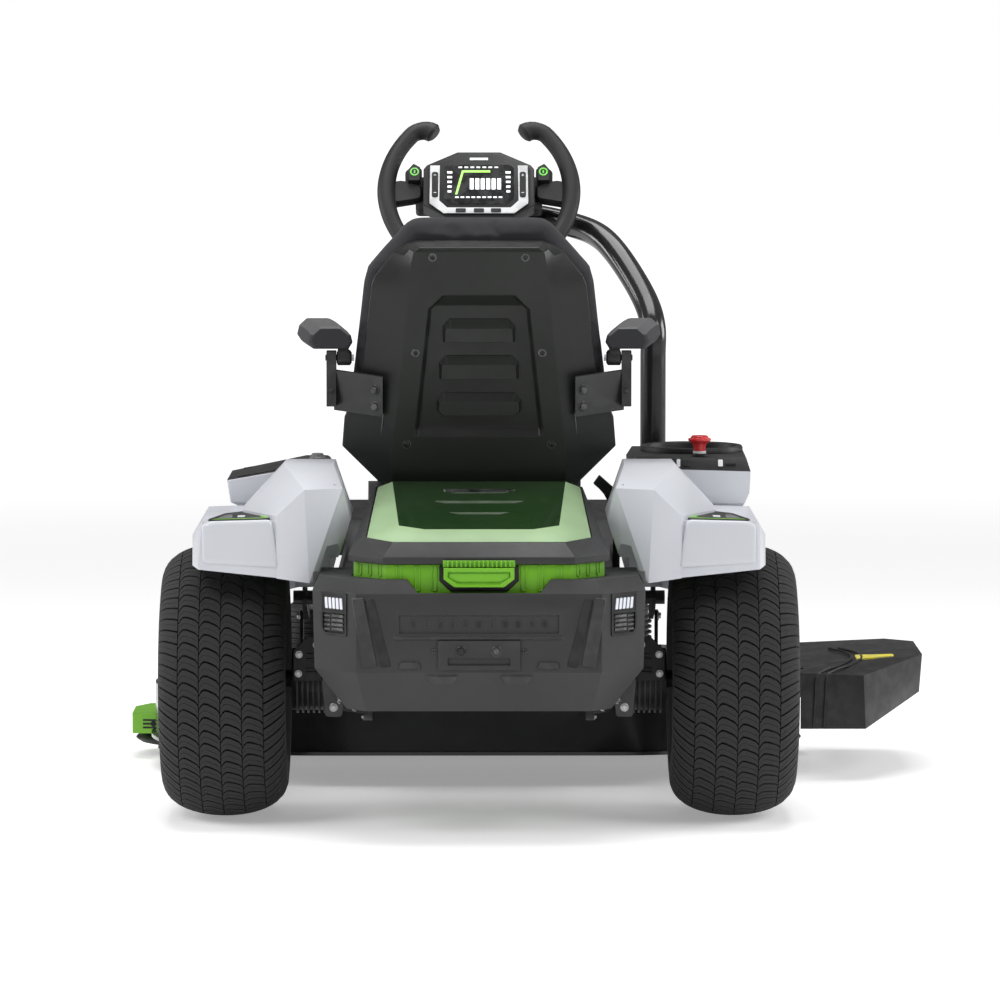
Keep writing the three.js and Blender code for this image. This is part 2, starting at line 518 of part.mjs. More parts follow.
function deck() {
  const { bottom, shoulder, top, wall, lip, radius } = DECK;
  const outer = racetrack(0, bottom - 60, shoulder, top - shoulder);
  const inner = racetrack(-wall, bottom - 60, shoulder - 2, top - shoulder - 3);
  const belowRim = box(-1000, 1000, 0, 1300, -200, bottom);
  const linkFoot = 176;
  const links = [-1, 1].map((s) => {
    const [x0, x1] = [s * 306, s * 312].sort((a, b) => a - b);
    return box(x0, x1, 388, 402, linkFoot, 302);
  });
  const disc = { x: [-568, 530], y: 770, z: 31, stalk: 9 };
  const arms = disc.x.map((x, i) => {
    const inward = i ? -70 : 70;
    const corners = [[0, -22], [0, 22], [inward, -34], [inward, 30]];
    return hull(corners.flatMap(([dx, dy]) => [[x + dx, disc.y + dy, 84], [x + dx, disc.y + dy, 96]]));
  });
  const stalks = disc.x.flatMap((x) => [rodZ(disc.stalk, 18, 90, x, disc.y, 12), rodZ(16, 10, 18.5, x, disc.y, 12)]);
  const ears = [458, 812].map((y) => box(430, 562, y, y + 10, 160, 198));
  const rimFlange = cut(racetrack(lip, bottom, bottom + 6), racetrack(-wall, 0, 100));
  const shell = cut(
    join(cut(join(outer, ...links, ...ears, ...arms), inner, belowRim), rimFlange, ...stalks),
    ...bladeX.map((x) => rodZ(13.5, 100, 200, x, DECK.y, 12)),
    box(470, 560, 480, 730, 62, 146),
    rodY(4.6, 450, 830, 553, 188),
  );
  place("deck_shell", shell, FINISH.blackSteel);

  const body = join(
    rodZ(75, top + GAP, 196, 0, 0, 24),
    rodZ(62, 195, 282, 0, 0, 24),
    rodZ(48, 281, 292, 0, 0, 24),
  );
  const tip = BLADE.halfLength;
  const sail = (s) => hull([[s * 170, -s * 10], [s * 262, -s * 10], [s * 170, -s * 28], [s * 262, -s * 28]].flatMap(
    ([x, y]) => [[x, y, BLADE.z], [x, y, BLADE.z + (Math.abs(y) > 20 ? 22 : 5)]]));
  const blade = join(
    box(-tip, tip, -27, 27, BLADE.z, BLADE.z + 5), sail(1), sail(-1),
    rodZ(20, BLADE.z - 2, BLADE.z + 16, 0, 0, 16), rodZ(12, BLADE.z, top - 1, 0, 0, 12), rodZ(14, 58, BLADE.z, 0, 0, 6),
  );
  [["left", 0], ["right", 1]].forEach(([side, i]) => {
    place(`${side}_blade_motor`, body, FINISH.blackPlastic).position.set(bladeX[i], DECK.y, 0);
    place(`${side}_blade`, blade, FINISH.bareSteel).position.set(bladeX[i], DECK.y, 0);
    const lens = turned([
      [disc.stalk + GAP + 0.3, -12.5], [30, -12.5], [50, -5], [55, 0], [50, 5], [30, 12.5], [disc.stalk + GAP + 0.3, 12.5],
    ], "z", 24);
    place(`${side}_gauge_disc`, lens, FINISH.blackPlastic).position.set(disc.x[i], disc.y, disc.z + 0.4);
  });

  const guard = hull([[-625, 700], [-625, 800], [-600, 845], [-500, 690], [-490, 845]].flatMap(([x, y]) => [[x, y, 46], [x, y, 83]]));
  const deckEdge = rodZ(radius + lip + 1, 0, 200, bladeX[0], DECK.y, 64);
  const stalkHole = rodZ(disc.stalk + 0.8, 0, 200, disc.x[0], disc.y, 12);
  place("deck_bumper", cut(guard, deckEdge, stalkHole), FINISH.greenPlastic);
}

function chute() {
  const roof = [[562, 398, 190], [672, 398, 186], [REACH.right, 560, 205], [REACH.right, 760, 206], [740, 838, 202], [562, 838, 194]];
  const skirt = [[562, 398, 92], [676, 398, 92], [690, 440, 112], [782, 560, 138], [782, 760, 138], [740, 838, 110], [562, 838, 92]];
  const wall = 4;
  const mouth = [...roof, ...skirt].map(([x, y, z]) => [
    x < 600 ? 540 : x - wall, y < 500 ? y + wall : y - (y > 700 ? wall : 0), z < 150 ? z - 60 : z - wall,
  ]);
  const earRelief = [455, 809].map((y) => box(530, 570, y, y + 16, 165, 230));
  const flap = join(
    cut(hull([...roof, ...skirt]), hull(mouth), ...earRelief),
    box(552, 576, 474, 806, 184, 191),
    rodY(8, 474, 806, 553, 188),
    rodY(4, 459, 821, 553, 188),
  );
  place("discharge_chute", flap, FINISH.blackPlastic);
}

// The cross shaft that lifts the deck: two arms that carry the deck's links, and the rider's lever.
function deckLift() {
  const { y, z, radius, arm, restAngle } = LIFT_SHAFT;
  const tip = [y + arm * Math.cos(rad(restAngle)), z + arm * Math.sin(rad(restAngle))];
  const arms = [-304, 296].map((x) => hull([x, x + 8].flatMap((at) => [...ringX(at, 20, y, z), ...ringX(at, 11, ...tip)])));
  place("lift_shaft", join(rodX(radius, -320, 320, y, z), ...arms), FINISH.blackSteel);
  const stalk = bent([[236, y, z + radius + 1], [236, y, 400], [236, y - 6, 470], [222, y - 30, 515], [212, y - 42, 528]], 6.5, 14, 8);
  const grip = hull([
    ...[[196, 536], [206, 550], [232, 527], [222, 513]].flatMap(([x, h]) => [[x, y - 64, h], [x, y - 36, h]]),
  ]);
  const collar = cut(rodX(22, 229, 243, y, z), rodX(radius + GAP, 220, 250, y, z));
  place("lift_lever", join(stalk, grip, collar), FINISH.blackPlastic);
}

// ---------------------------------------------------------------- seat

function seatBase() {
  const base = bothSides([
    [176, 62, RAIL.top + 1], [176, 690, RAIL.top + 1], [176, 62, 440], [160, 78, 470], [176, 520, 440],
    [160, 505, 470], [176, 640, 340],
  ]);
  const shaftTunnel = box(-200, 200, LIFT_SHAFT.y - 26, LIFT_SHAFT.y + 26, RAIL.top - 5, 362);
  place("seat_base", cut(hull(base), shaftTunnel), FINISH.darkPlastic);
}

function seat() {
  const pan = join(
    box(-180, 180, 105, 500, 476, 484),
    ...[-165, 145].map((x) => box(x, x + 20, 96, 506, 470.5, 477)),
    ...[-150, 120].map((x) => box(x, x + 30, 74, 112, 476, 484)),
    ...[-150, 120].map((x) => box(x, x + 30, 74, 82, 476, 540)),
  );
  place("seat_frame", pan, FINISH.blackSteel);
  const ring = (halfWidth, y0, y1, z, corner) => [
    [halfWidth - corner, y0, z], [halfWidth, y0 + corner, z], [halfWidth, y1 - corner, z], [halfWidth - corner, y1, z],
  ];
  const cushion = bothSides([
    ...ring(160, 112, 548, 484 + GAP, 40), ...ring(176, 102, 560, 520, 46), ...ring(181, 102, 560, 548, 46), ...ring(166, 112, 540, 586, 50),
  ]);
  place("seat_cushion", hull(cushion), FINISH.vinyl);

  const back = groupAt(0, SEAT_BACK.y, SEAT_BACK.z);
  back.rotation.x = rad(SEAT_BACK.lean);
  const padOutline = [[150, 52], [200, 62], [221, 130], [211, 194], [196, 357], [189, 383], [139, 435], [118, 465]];
  const pad = bothSides([
    ...padOutline.flatMap(([x, w]) => [[x, 0, w], [x, 40, w]]),
    ...padOutline.map(([x, w]) => [x * 0.84, 76, 250 + (w - 250) * 0.88]),
  ]);
  place("back_cushion", hull(pad), FINISH.vinyl, back);
  const rimOutline = [[146, -4], [164, 5], [229, 73], [225, 122], [196, 195], [178, 356], [172, 371], [150, 396], [111, 417]];
  const crown = [[143, 14, -44], [146, 60, -48], [107, 410, -47], [105, 416, -38]];
  const shell = bothSides([
    ...rimOutline.flatMap(([x, w]) => [[x, -GAP, w], [x, -12, w]]),
    ...crown.map(([x, w, t]) => [x, t, w]),
  ]);
  place("back_shell", hull(shell), FINISH.darkPlastic, back);
  armrests();
}

// A bolted plate on the seat back carries an upright post, and the pad swings up on a hub beside it.
function armrests() {
  const plate = new THREE.Object3D();
  plate.position.set(0, SEAT_BACK.y, SEAT_BACK.z);
  plate.rotation.x = rad(SEAT_BACK.lean);
  plate.updateMatrix();
  const slab = hull([[160, -43], [160, -49], [242, -6.5], [242, -13]].flatMap(([x, t]) => [[x, t, 137], [x, t, 207]]));
  const post = { x0: 238, x1: 254, y0: 2, y1: 38, bottom: 684, top: 776 };
  const hub = { y: 15, z: 765, radius: 13 };
  const bracket = cut(
    join(slab.applyMatrix4(plate.matrix), box(post.x0, post.x1, post.y0, post.y1, post.bottom, post.top)),
    box(245, 260, 12, 28, 700, 768),
    rodX(5.5, 230, 260, hub.y, hub.z, 12),
  );
  placePair("armrest_bracket", bracket, FINISH.blackSteel);
  const near = [[223, 783], [275, 783], [215, 794], [283, 794], [219, 807], [279, 807], [228, 813], [268, 813]];
  const far = near.map(([x, z]) => [x + 30, z + (z > 800 ? 4 : 0)]);
  const pad = hull([...near.map(([x, z]) => [x, -4, z]), ...far.map(([x, z]) => [x, 250, z])]);
  const armrest = join(
    pad, rodX(hub.radius, 214, 236, hub.y, hub.z), rodX(5, 230, 256, hub.y, hub.z, 12), box(217, 235, 4, 27, 765, 786),
  );
  placePair("armrest", armrest, FINISH.vinyl);
}

// ---------------------------------------------------------------- steering

function steering() {
  const { y, z, lean, rimRadius, rimSection } = STEERING;
  const wheel = groupAt(0, y, z);
  wheel.rotation.x = -rad(lean);

  // The rim is a yoke: most of a circle, open at the top, with a horn curling in at each end.
  const [hornAngle, steps] = [45, 16];
  const arc = Array.from({ length: steps + 1 }, (_, i) => {
    const turn = rad(hornAngle - ((180 + 2 * hornAngle) * i) / steps);
    return [rimRadius * Math.cos(turn), 0, rimRadius * Math.sin(turn)];
  });
  const horn = [[76, 0, 113], [95, 0, 121]];
  const yoke = bent([...horn, ...arc, ...horn.map(([x, , h]) => [-x, 0, h]).reverse()], rimSection, 44, 8);
  const spokes = [-1, 1].flatMap((s) => [
    hull([[100.5, -16], [152, -22], [100.5, 12], [152, 8]].flatMap(([x, h]) => [[s * x, -2, h], [s * x, 22, h]])),
    hull([[101, 6], [128, 6], [128, 44], [116, 54], [101, 48]].flatMap(([x, h]) => [[s * x, 5, h], [s * x, 20, h]])),
  ]);
  const hub = join(box(-112, 112, 9.3, 30, -34, 34), rodY(40, 28, 41.7, 0, 0, 16));
  place("steering_wheel", join(yoke, ...spokes, hub), FINISH.blackPlastic, wheel);

  const face = [[55, -67], [98, -41], [98, 31], [92, 39], [38, 65]];
  place("display", join(plaque(face, -26, 9), plaque(face.map(([x, h]) => [x * 0.9, h * 0.9]), -30, -20)), FINISH.blackPlastic, wheel);
  const key = [[103, 14], [126, 14], [127, 38], [116, 52], [103, 44]];
  for (const [side, s] of [["right", 1], ["left", -1]]) {
    const button = hull(key.flatMap(([x, h]) => [[s * x, 1, h], [s * (x * 0.9 + 11.5), -12, h * 0.9 + 3]]));
    place(`${side}_reverse_button`, button, FINISH.blackPlastic, wheel);
  }

  const column = rodY(26, 42, 84, 0, 0, 16).applyMatrix4(new THREE.Matrix4().makeRotationX(-rad(lean))).translate(0, y, z);
  const end = [0, y + 80 * Math.cos(rad(lean)), z - 80 * Math.sin(rad(lean))];
  const { x, y: py, z: pz } = ARM_PIVOT;
  const tube = bent([
    [x, py, pz], [x, py, 700], [x, py + 3, 790], [292, 484, 836], [240, 568, 920], [209, 610, 948], [165, 645, 964], [90, 664, 979], end,
  ], 22.5, 34, 10);
  const boss = rodX(30, x - 27, x + 27, py, pz, 16);
  const pin = rodX(12, x - 42, x + 42, py, pz, 16);
  place("steering_arm", join(tube, column, boss, pin), FINISH.blackSteel);
}

// ---------------------------------------------------------------- assembly

frame();
frontAxleBeam();
floorPan();
pedals();
rearWheels();
casters();
driveMotors();
fenders();
consoles();
consoleControls();
battery();
rearBumper();
tailLights();
lid();
deck();
chute();
deckLift();
seatBase();
seat();
steering();

mower.position.set(-(REACH.left + REACH.right) / 2, -(REACH.tail + REACH.nose) / 2, 0);

export default mower;
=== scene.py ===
"""Looks of an electric zero turn mower, built round its fixed CAD frame.

Sizes are millimetres from the mower's own datum (its centre plane, the rear axle and the ground) until a mesh is
finished, when they become row-frame metres. Each sub-assembly is a class that makes and dresses its own pieces.
"""

from __future__ import annotations

import json
import logging
import math
from dataclasses import dataclass
from enum import Enum
from typing import Callable, Sequence

import bmesh
import bpy
import numpy as np
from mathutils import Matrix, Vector


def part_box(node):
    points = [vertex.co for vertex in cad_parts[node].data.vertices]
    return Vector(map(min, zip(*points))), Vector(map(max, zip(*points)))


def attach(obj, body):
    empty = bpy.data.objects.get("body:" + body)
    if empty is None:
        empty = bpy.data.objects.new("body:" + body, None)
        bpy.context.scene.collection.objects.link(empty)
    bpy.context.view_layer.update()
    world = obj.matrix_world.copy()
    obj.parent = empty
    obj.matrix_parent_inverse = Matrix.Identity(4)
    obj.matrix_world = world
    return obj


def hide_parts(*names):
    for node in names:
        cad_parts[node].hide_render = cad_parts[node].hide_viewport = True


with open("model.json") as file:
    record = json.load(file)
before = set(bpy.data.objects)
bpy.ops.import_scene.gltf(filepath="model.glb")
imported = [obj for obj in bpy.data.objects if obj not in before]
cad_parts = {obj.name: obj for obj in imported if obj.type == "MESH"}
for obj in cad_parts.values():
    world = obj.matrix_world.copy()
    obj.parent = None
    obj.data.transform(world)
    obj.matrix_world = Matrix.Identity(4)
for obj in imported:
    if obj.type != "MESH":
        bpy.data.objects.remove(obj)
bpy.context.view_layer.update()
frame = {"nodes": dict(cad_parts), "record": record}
LOG = logging.getLogger("mower")
Colour = tuple[float, float, float]
Points = np.ndarray
MM = 0.001


def mower_datum() -> Points:
    """The point of the row frame, in metres, where the centre plane, the rear axle and the ground meet."""
    (left, _), (_, right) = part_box("left_rear_tyre"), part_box("right_rear_tyre")
    return np.array([(left.x + right.x) / 2, (left.y + right.y) / 2, 0.0])


DATUM = mower_datum()


class Side(Enum):
    """The two sides of the machine, with the sign of X on each."""

    LEFT = -1
    RIGHT = 1

    @property
    def label(self) -> str:
        """The side's name as the CAD nodes and bodies write it."""
        return self.name.lower()


# ------------------------------------------------------------------------------------------------ shader groups


def new_group(name: str, inputs: dict[str, object], outputs: dict[str, str]) -> bpy.types.NodeTree:
    """Makes an empty shader node group.

    Args:
        name: the group's name.
        inputs: socket name to default value; a tuple makes a colour socket and a number a float socket.
        outputs: socket name to socket type.

    Returns:
        The node tree, holding its input and output nodes.
    """
    tree = bpy.data.node_groups.new(name, "ShaderNodeTree")
    for label, value in inputs.items():
        kind = "NodeSocketColor" if isinstance(value, tuple) else "NodeSocketFloat"
        socket = tree.interface.new_socket(label, in_out="INPUT", socket_type=kind)
        socket.default_value = (*value, 1.0) if isinstance(value, tuple) else value
    for label, kind in outputs.items():
        tree.interface.new_socket(label, in_out="OUTPUT", socket_type=kind)
    tree.nodes.new("NodeGroupInput").name = "in"
    tree.nodes.new("NodeGroupOutput").name = "out"
    return tree


class Wiring:
    """Short calls for adding and joining the nodes of one tree."""

    def __init__(self, tree: bpy.types.NodeTree) -> None:
        """Keeps the tree that nodes go into."""
        self.tree = tree

    def add(self, kind: str, **settings: object) -> bpy.types.Node:
        """Adds a node.

        Args:
            kind: the node type without its ShaderNode prefix.
            settings: attributes by name; a name that starts with set_ fills that input socket, with _ for a space.

        Returns:
            The new node.
        """
        node = self.tree.nodes.new("ShaderNode" + kind)
        for key, value in settings.items():
            if key.startswith("set_"):
                node.inputs[key[4:].replace("_", " ")].default_value = value
            else:
                setattr(node, key, value)
        return node

    def join(self, source: bpy.types.NodeSocket, target: bpy.types.NodeSocket) -> None:
        """Links one socket to another."""
        self.tree.links.new(source, target)

    def noise(
        self, scale: object, detail: float = 3.0, coords: bpy.types.NodeSocket | None = None
    ) -> bpy.types.NodeSocket:
        """Noise on object coordinates.

        Args:
            scale: how fine it is, as a number or a socket.
            detail: how many finer layers it has.
            coords: the place to read it at, or None for object coordinates.

        Returns:
            The value socket.
        """
        node = self.add("TexNoise", set_Detail=detail)
        if isinstance(scale, (int, float)):
            node.inputs["Scale"].default_value = scale
        else:
            self.join(scale, node.inputs["Scale"])
        self.join(coords or self.add("TexCoord").outputs["Object"], node.inputs["Vector"])
        return node.outputs["Fac"]

    def remap(
        self, value: bpy.types.NodeSocket, low: float, high: float, to: tuple[object, object] = (0.0, 1.0)
    ) -> bpy.types.NodeSocket:
        """A clamped straight-line map of value from low..high to the two ends of to, each a number or a socket.

        Args:
            value: the socket to map.
            low: the value that gives the first end.
            high: the value that gives the second end.
            to: the two ends, each a number or a socket.

        Returns:
            The result socket.
        """
        node = self.add("MapRange")
        for slot, item in (
            ("Value", value), ("From Min", low), ("From Max", high), ("To Min", to[0]), ("To Max", to[1])
        ):
            if isinstance(item, (int, float)):
                node.inputs[slot].default_value = item
            else:
                self.join(item, node.inputs[slot])
        return node.outputs["Result"]

    def mix(
        self, amount: bpy.types.NodeSocket, first: object, second: object, blend: str = "MIX"
    ) -> bpy.types.NodeSocket:
        """A colour mix of first and second.

        Args:
            amount: the share of second.
            first: a colour or a socket.
            second: a colour or a socket.
            blend: the blend type.

        Returns:
            The colour socket.
        """
        node = self.add("Mix", data_type="RGBA", blend_type=blend)
        self.join(amount, node.inputs[0])
        for slot, item in ((6, first), (7, second)):
            if isinstance(item, tuple):
                node.inputs[slot].default_value = (*item, 1.0)
            else:
                self.join(item, node.inputs[slot])
        return node.outputs[2]

    def math(self, operation: str, first: object, second: object = 0.0) -> bpy.types.NodeSocket:
        """A math node on two numbers or sockets.

        Args:
            operation: the node's operation.
            first: a number or a socket.
            second: a number or a socket.

        Returns:
            The value socket.
        """
        node = self.add("Math", operation=operation)
        for slot, item in ((0, first), (1, second)):
            if isinstance(item, (int, float)):
                node.inputs[slot].default_value = item
            else:
                self.join(item, node.inputs[slot])
        return node.outputs[0]


def grain_group() -> bpy.types.NodeTree:
    """Moulded or sprayed grain: a fine pebble height and a roughness that drifts over the surface.

    Returns:
        The group.
    """
    tree = new_group(
        "moulded_grain",
        {"Scale": 900.0, "Smooth": 0.35, "Rough": 0.5},
        {"Height": "NodeSocketFloat", "Roughness": "NodeSocketFloat"},
    )
    w = Wiring(tree)
    source, out = tree.nodes["in"], tree.nodes["out"]
    pebble = w.add("TexVoronoi", feature="SMOOTH_F1")
    w.join(w.add("TexCoord").outputs["Object"], pebble.inputs["Vector"])
    w.join(source.outputs["Scale"], pebble.inputs["Scale"])
    w.join(w.math("MULTIPLY_ADD", pebble.outputs["Distance"], 0.8), out.inputs["Height"])
    drift = w.math("ADD", w.math("MULTIPLY", w.noise(7.0, 4.0), 0.7), w.math("MULTIPLY", w.noise(60.0, 2.0), 0.3))
    ends = (source.outputs["Smooth"], source.outputs["Rough"])
    w.join(w.remap(drift, 0.35, 0.65, ends), out.inputs["Roughness"])
    return tree


def wear_group() -> bpy.types.NodeTree:
    """Tone drift, rubbed edges and a little dust on faces that look up, as one colour.

    Returns:
        The group.
    """
    tree = new_group(
        "rubbed_edges",
        {"Colour": (0.1, 0.1, 0.1), "Drift": (0.12, 0.12, 0.12), "Worn": (0.3, 0.3, 0.3), "Edge": 0.4, "Dust": 0.05},
        {"Colour": "NodeSocketColor"},
    )
    w = Wiring(tree)
    source, out = tree.nodes["in"], tree.nodes["out"]
    geometry = w.add("NewGeometry")
    drifted = w.mix(w.remap(w.noise(5.0, 5.0), 0.3, 0.7), source.outputs["Colour"], source.outputs["Drift"])
    edge = w.remap(geometry.outputs["Pointiness"], 0.53, 0.62)
    scuffed = w.math("MULTIPLY", edge, w.remap(w.noise(45.0, 5.0), 0.42, 0.6))
    worn = w.mix(w.math("MULTIPLY", scuffed, source.outputs["Edge"]), drifted, source.outputs["Worn"])
    parts = w.add("SeparateXYZ")
    w.join(geometry.outputs["Normal"], parts.inputs[0])
    settled = w.math("MULTIPLY", w.remap(parts.outputs["Z"], 0.5, 1.0), w.remap(w.noise(28.0, 6.0), 0.45, 0.75))
    dusty = w.mix(w.math("MULTIPLY", settled, source.outputs["Dust"]), worn, (0.42, 0.4, 0.36))
    w.join(dusty, out.inputs["Colour"])
    return tree


def weave_group() -> bpy.types.NodeTree:
    """A tight plain weave: two crossed sets of waves on object coordinates, as a height and a thread mask.

    Returns:
        The group.
    """
    tree = new_group("plain_weave", {"Threads": 900.0}, {"Height": "NodeSocketFloat", "Mask": "NodeSocketFloat"})
    w = Wiring(tree)
    source, out = tree.nodes["in"], tree.nodes["out"]
    coords = w.add("TexCoord").outputs["Object"]
    sets = []
    for direction in ("X", "Z"):
        wave = w.add("TexWave", bands_direction=direction, set_Distortion=0.6, set_Detail=1.0)
        w.join(coords, wave.inputs["Vector"])
        w.join(source.outputs["Threads"], wave.inputs["Scale"])
        sets.append(wave.outputs["Fac"])
    w.join(w.math("MAXIMUM", *sets), out.inputs["Height"])
    w.join(w.math("MULTIPLY", *sets), out.inputs["Mask"])
    return tree


GROUPS: dict[str, bpy.types.NodeTree] = {"grain": grain_group(), "wear": wear_group(), "weave": weave_group()}


# ------------------------------------------------------------------------------------------------ finishes


@dataclass(frozen=True)
class Finish:
    """One finish: the colours and numbers of a painted, moulded, woven or metal surface."""

    name: str
    slot: str
    colour: Colour
    drift: Colour
    worn: Colour = (0.3, 0.3, 0.3)
    smooth: float = 0.35
    rough: float = 0.5
    grain: float = 1500.0
    depth: float = 0.00006
    edge: float = 0.4
    dust: float = 0.04
    metallic: float = 0.0
    coat: float = 0.0
    sheen: float = 0.0
    woven: bool = False
    glow: Colour | None = None
    strength: float = 0.0
    shine: float = 0.5

    def material(self) -> bpy.types.Material:
        """The Blender material of this finish, made on first use."""
        found = bpy.data.materials.get(self.name)
        return found or self.build()

    def build(self) -> bpy.types.Material:
        """Wires a Principled shader to the shared groups with this finish's own numbers.

        Returns:
            The new material.
        """
        made = bpy.data.materials.new(self.name)
        made.use_nodes = True
        made.diffuse_color = (*self.colour, 1.0)
        w = Wiring(made.node_tree)
        shader = made.node_tree.nodes["Principled BSDF"]
        shader.inputs["Metallic"].default_value = self.metallic
        shader.inputs["Coat Weight"].default_value = self.coat
        shader.inputs["Coat Roughness"].default_value = 0.12
        shader.inputs["Specular IOR Level"].default_value = self.shine
        shader.inputs["Sheen Weight"].default_value = self.sheen
        shader.inputs["Sheen Roughness"].default_value = 0.4
        grain = w.add(
            "Group", node_tree=GROUPS["grain"], set_Scale=self.grain, set_Smooth=self.smooth, set_Rough=self.rough
        )
        wear = w.add("Group", node_tree=GROUPS["wear"], set_Edge=self.edge, set_Dust=self.dust)
        for label, value in (("Colour", self.colour), ("Drift", self.drift), ("Worn", self.worn)):
            wear.inputs[label].default_value = (*value, 1.0)
        colour, height = wear.outputs["Colour"], grain.outputs["Height"]
        if self.woven:
            weave = w.add("Group", node_tree=GROUPS["weave"])
            height = w.math("ADD", weave.outputs["Height"], w.math("MULTIPLY", height, 0.3))
            colour = w.mix(weave.outputs["Mask"], colour, tuple(min(1.0, c * 1.7) for c in self.drift))
        w.join(colour, shader.inputs["Base Color"])
        w.join(grain.outputs["Roughness"], shader.inputs["Roughness"])
        bump = w.add("Bump", set_Distance=self.depth, set_Strength=1.0)
        w.join(height, bump.inputs["Height"])
        w.join(bump.outputs["Normal"], shader.inputs["Normal"])
        if self.glow is not None:
            shader.inputs["Emission Color"].default_value = (*self.glow, 1.0)
            shader.inputs["Emission Strength"].default_value = self.strength
        return made


@dataclass(frozen=True)
class Tinted:
    """A see-through tinted plastic, clear or frosted."""

    name: str
    slot: str
    colour: Colour
    roughness: float
    through: float = 1.0

    def material(self) -> bpy.types.Material:
        """The Blender material of this tint, made on first use.

        Returns:
            The material.
        """
        found = bpy.data.materials.get(self.name)
        if found:
            return found
        made = bpy.data.materials.new(self.name)
        made.use_nodes = True
        made.diffuse_color = (*self.colour, 0.6)
        w = Wiring(made.node_tree)
        shader = made.node_tree.nodes["Principled BSDF"]
        shader.inputs["Transmission Weight"].default_value = self.through
        shader.inputs["IOR"].default_value = 1.25
        tint = w.mix(w.remap(w.noise(9.0), 0.3, 0.7), self.colour, tuple(c * 0.8 for c in self.colour))
        w.join(tint, shader.inputs["Base Color"])
        w.join(
            w.remap(w.noise(40.0, 4.0), 0.3, 0.7, (self.roughness, self.roughness + 0.06)), shader.inputs["Roughness"]
        )
        return made


GLOSS_BLACK = Finish(
    "gloss_black_paint", "black_steel", (0.011, 0.011, 0.012), (0.015, 0.015, 0.016), (0.08, 0.08, 0.08), 0.16, 0.26,
    700.0, 0.00003, 0.15, 0.03, coat=0.5
)
SATIN_BLACK = Finish(
    "satin_black_paint", "black_steel", (0.016, 0.016, 0.017), (0.022, 0.022, 0.023), (0.12, 0.12, 0.12), 0.3, 0.45,
    1100.0, 0.00006, 0.3, 0.05
)
WHITE_SHELL = Finish(
    "white_moulding", "white_panel", (0.58, 0.595, 0.64), (0.61, 0.625, 0.665), (0.75, 0.75, 0.78), 0.3, 0.42, 1500.0,
    0.00003, 0.1, 0.02, coat=0.15
)
CHARCOAL = Finish(
    "charcoal_moulding", "dark_plastic", (0.026, 0.026, 0.027), (0.032, 0.032, 0.033), (0.09, 0.09, 0.09), 0.44, 0.58,
    1600.0, 0.00008, 0.3, 0.03, shine=0.4
)
DARK_SHELL = Finish(
    "seat_shell_moulding", "dark_plastic", (0.0095, 0.0105, 0.0095), (0.012, 0.014, 0.012), (0.05, 0.05, 0.05), 0.36,
    0.5, 1600.0, 0.00006, 0.25, 0.02, shine=0.35
)
BLACK_PLASTIC = Finish(
    "black_moulding", "black_plastic", (0.011, 0.011, 0.0115), (0.015, 0.015, 0.0155), (0.06, 0.06, 0.06), 0.4, 0.56,
    1500.0, 0.00008, 0.3, 0.05, shine=0.35
)
SOFT_GRIP = Finish(
    "soft_grip", "black_plastic", (0.016, 0.016, 0.0165), (0.021, 0.021, 0.0215), (0.05, 0.05, 0.05), 0.46, 0.62,
    2200.0, 0.00012, 0.15, 0.03, shine=0.35
)
LIME = Finish(
    "lime_moulding", "green_plastic", (0.14, 0.42, 0.008), (0.17, 0.47, 0.01), (0.3, 0.62, 0.06), 0.3, 0.42, 1500.0,
    0.00003, 0.1, 0.0, coat=0.2
)
LIME_GLOW = Finish(
    "lime_symbol", "green_plastic", (0.1, 0.5, 0.03), (0.12, 0.55, 0.04), smooth=0.4, rough=0.5,
    glow=(0.2, 0.9, 0.08), strength=0.35
)
RUBBER = Finish(
    "tyre_rubber", "tyre_rubber", (0.0075, 0.0075, 0.0078), (0.011, 0.011, 0.0114), (0.035, 0.035, 0.034), 0.52, 0.7,
    1300.0, 0.0001, 0.25, 0.03, shine=0.3
)
VINYL = Finish(
    "seat_vinyl", "seat_vinyl", (0.009, 0.009, 0.0095), (0.013, 0.013, 0.0135), (0.03, 0.03, 0.03), 0.55, 0.7, 620.0,
    0.0002, 0.1, 0.02, sheen=0.05, woven=True
)
# painted highlight: this grey goes on the armrest faces that look up, standing for the top light on them
PAD_TOP_HIGHLIGHT = Finish(
    "armrest_foam_skin", "seat_vinyl", (0.075, 0.075, 0.078), (0.09, 0.09, 0.093), (0.1, 0.1, 0.1), 0.45, 0.6, 1300.0,
    0.00012, 0.2, 0.02
)
ZINC = Finish(
    "zinc_fastener", "bare_steel", (0.32, 0.32, 0.33), (0.4, 0.4, 0.41), (0.6, 0.6, 0.6), 0.28, 0.42, 1400.0, 0.00003,
    0.5, 0.02, metallic=1.0
)
BLACK_ZINC = Finish(
    "black_fastener", "black_steel", (0.03, 0.03, 0.031), (0.045, 0.045, 0.046), (0.2, 0.2, 0.2), 0.3, 0.45, 1400.0,
    0.00003, 0.6, 0.03, metallic=0.6
)
GROUND_STEEL = Finish(
    "ground_steel", "bare_steel", (0.3, 0.3, 0.31), (0.4, 0.4, 0.41), (0.6, 0.6, 0.6), 0.25, 0.4, 800.0, 0.00005, 0.6,
    0.03, metallic=1.0
)
RED = Finish(
    "red_moulding", "red_plastic", (0.5, 0.012, 0.015), (0.58, 0.02, 0.02), (0.7, 0.15, 0.15), 0.26, 0.36, 1500.0,
    0.00003, 0.1, 0.01, coat=0.2
)
PALE_TRIM = Finish(
    "pale_trim", "screen_housing", (0.72, 0.73, 0.74), (0.78, 0.79, 0.8), smooth=0.3, rough=0.4, dust=0.0
)
LIT_WHITE = Finish(
    "lit_white", "screen_housing", (0.8, 0.8, 0.8), (0.9, 0.9, 0.9), smooth=0.3, rough=0.4, dust=0.0,
    glow=(0.9, 0.95, 1.0), strength=0.9
)
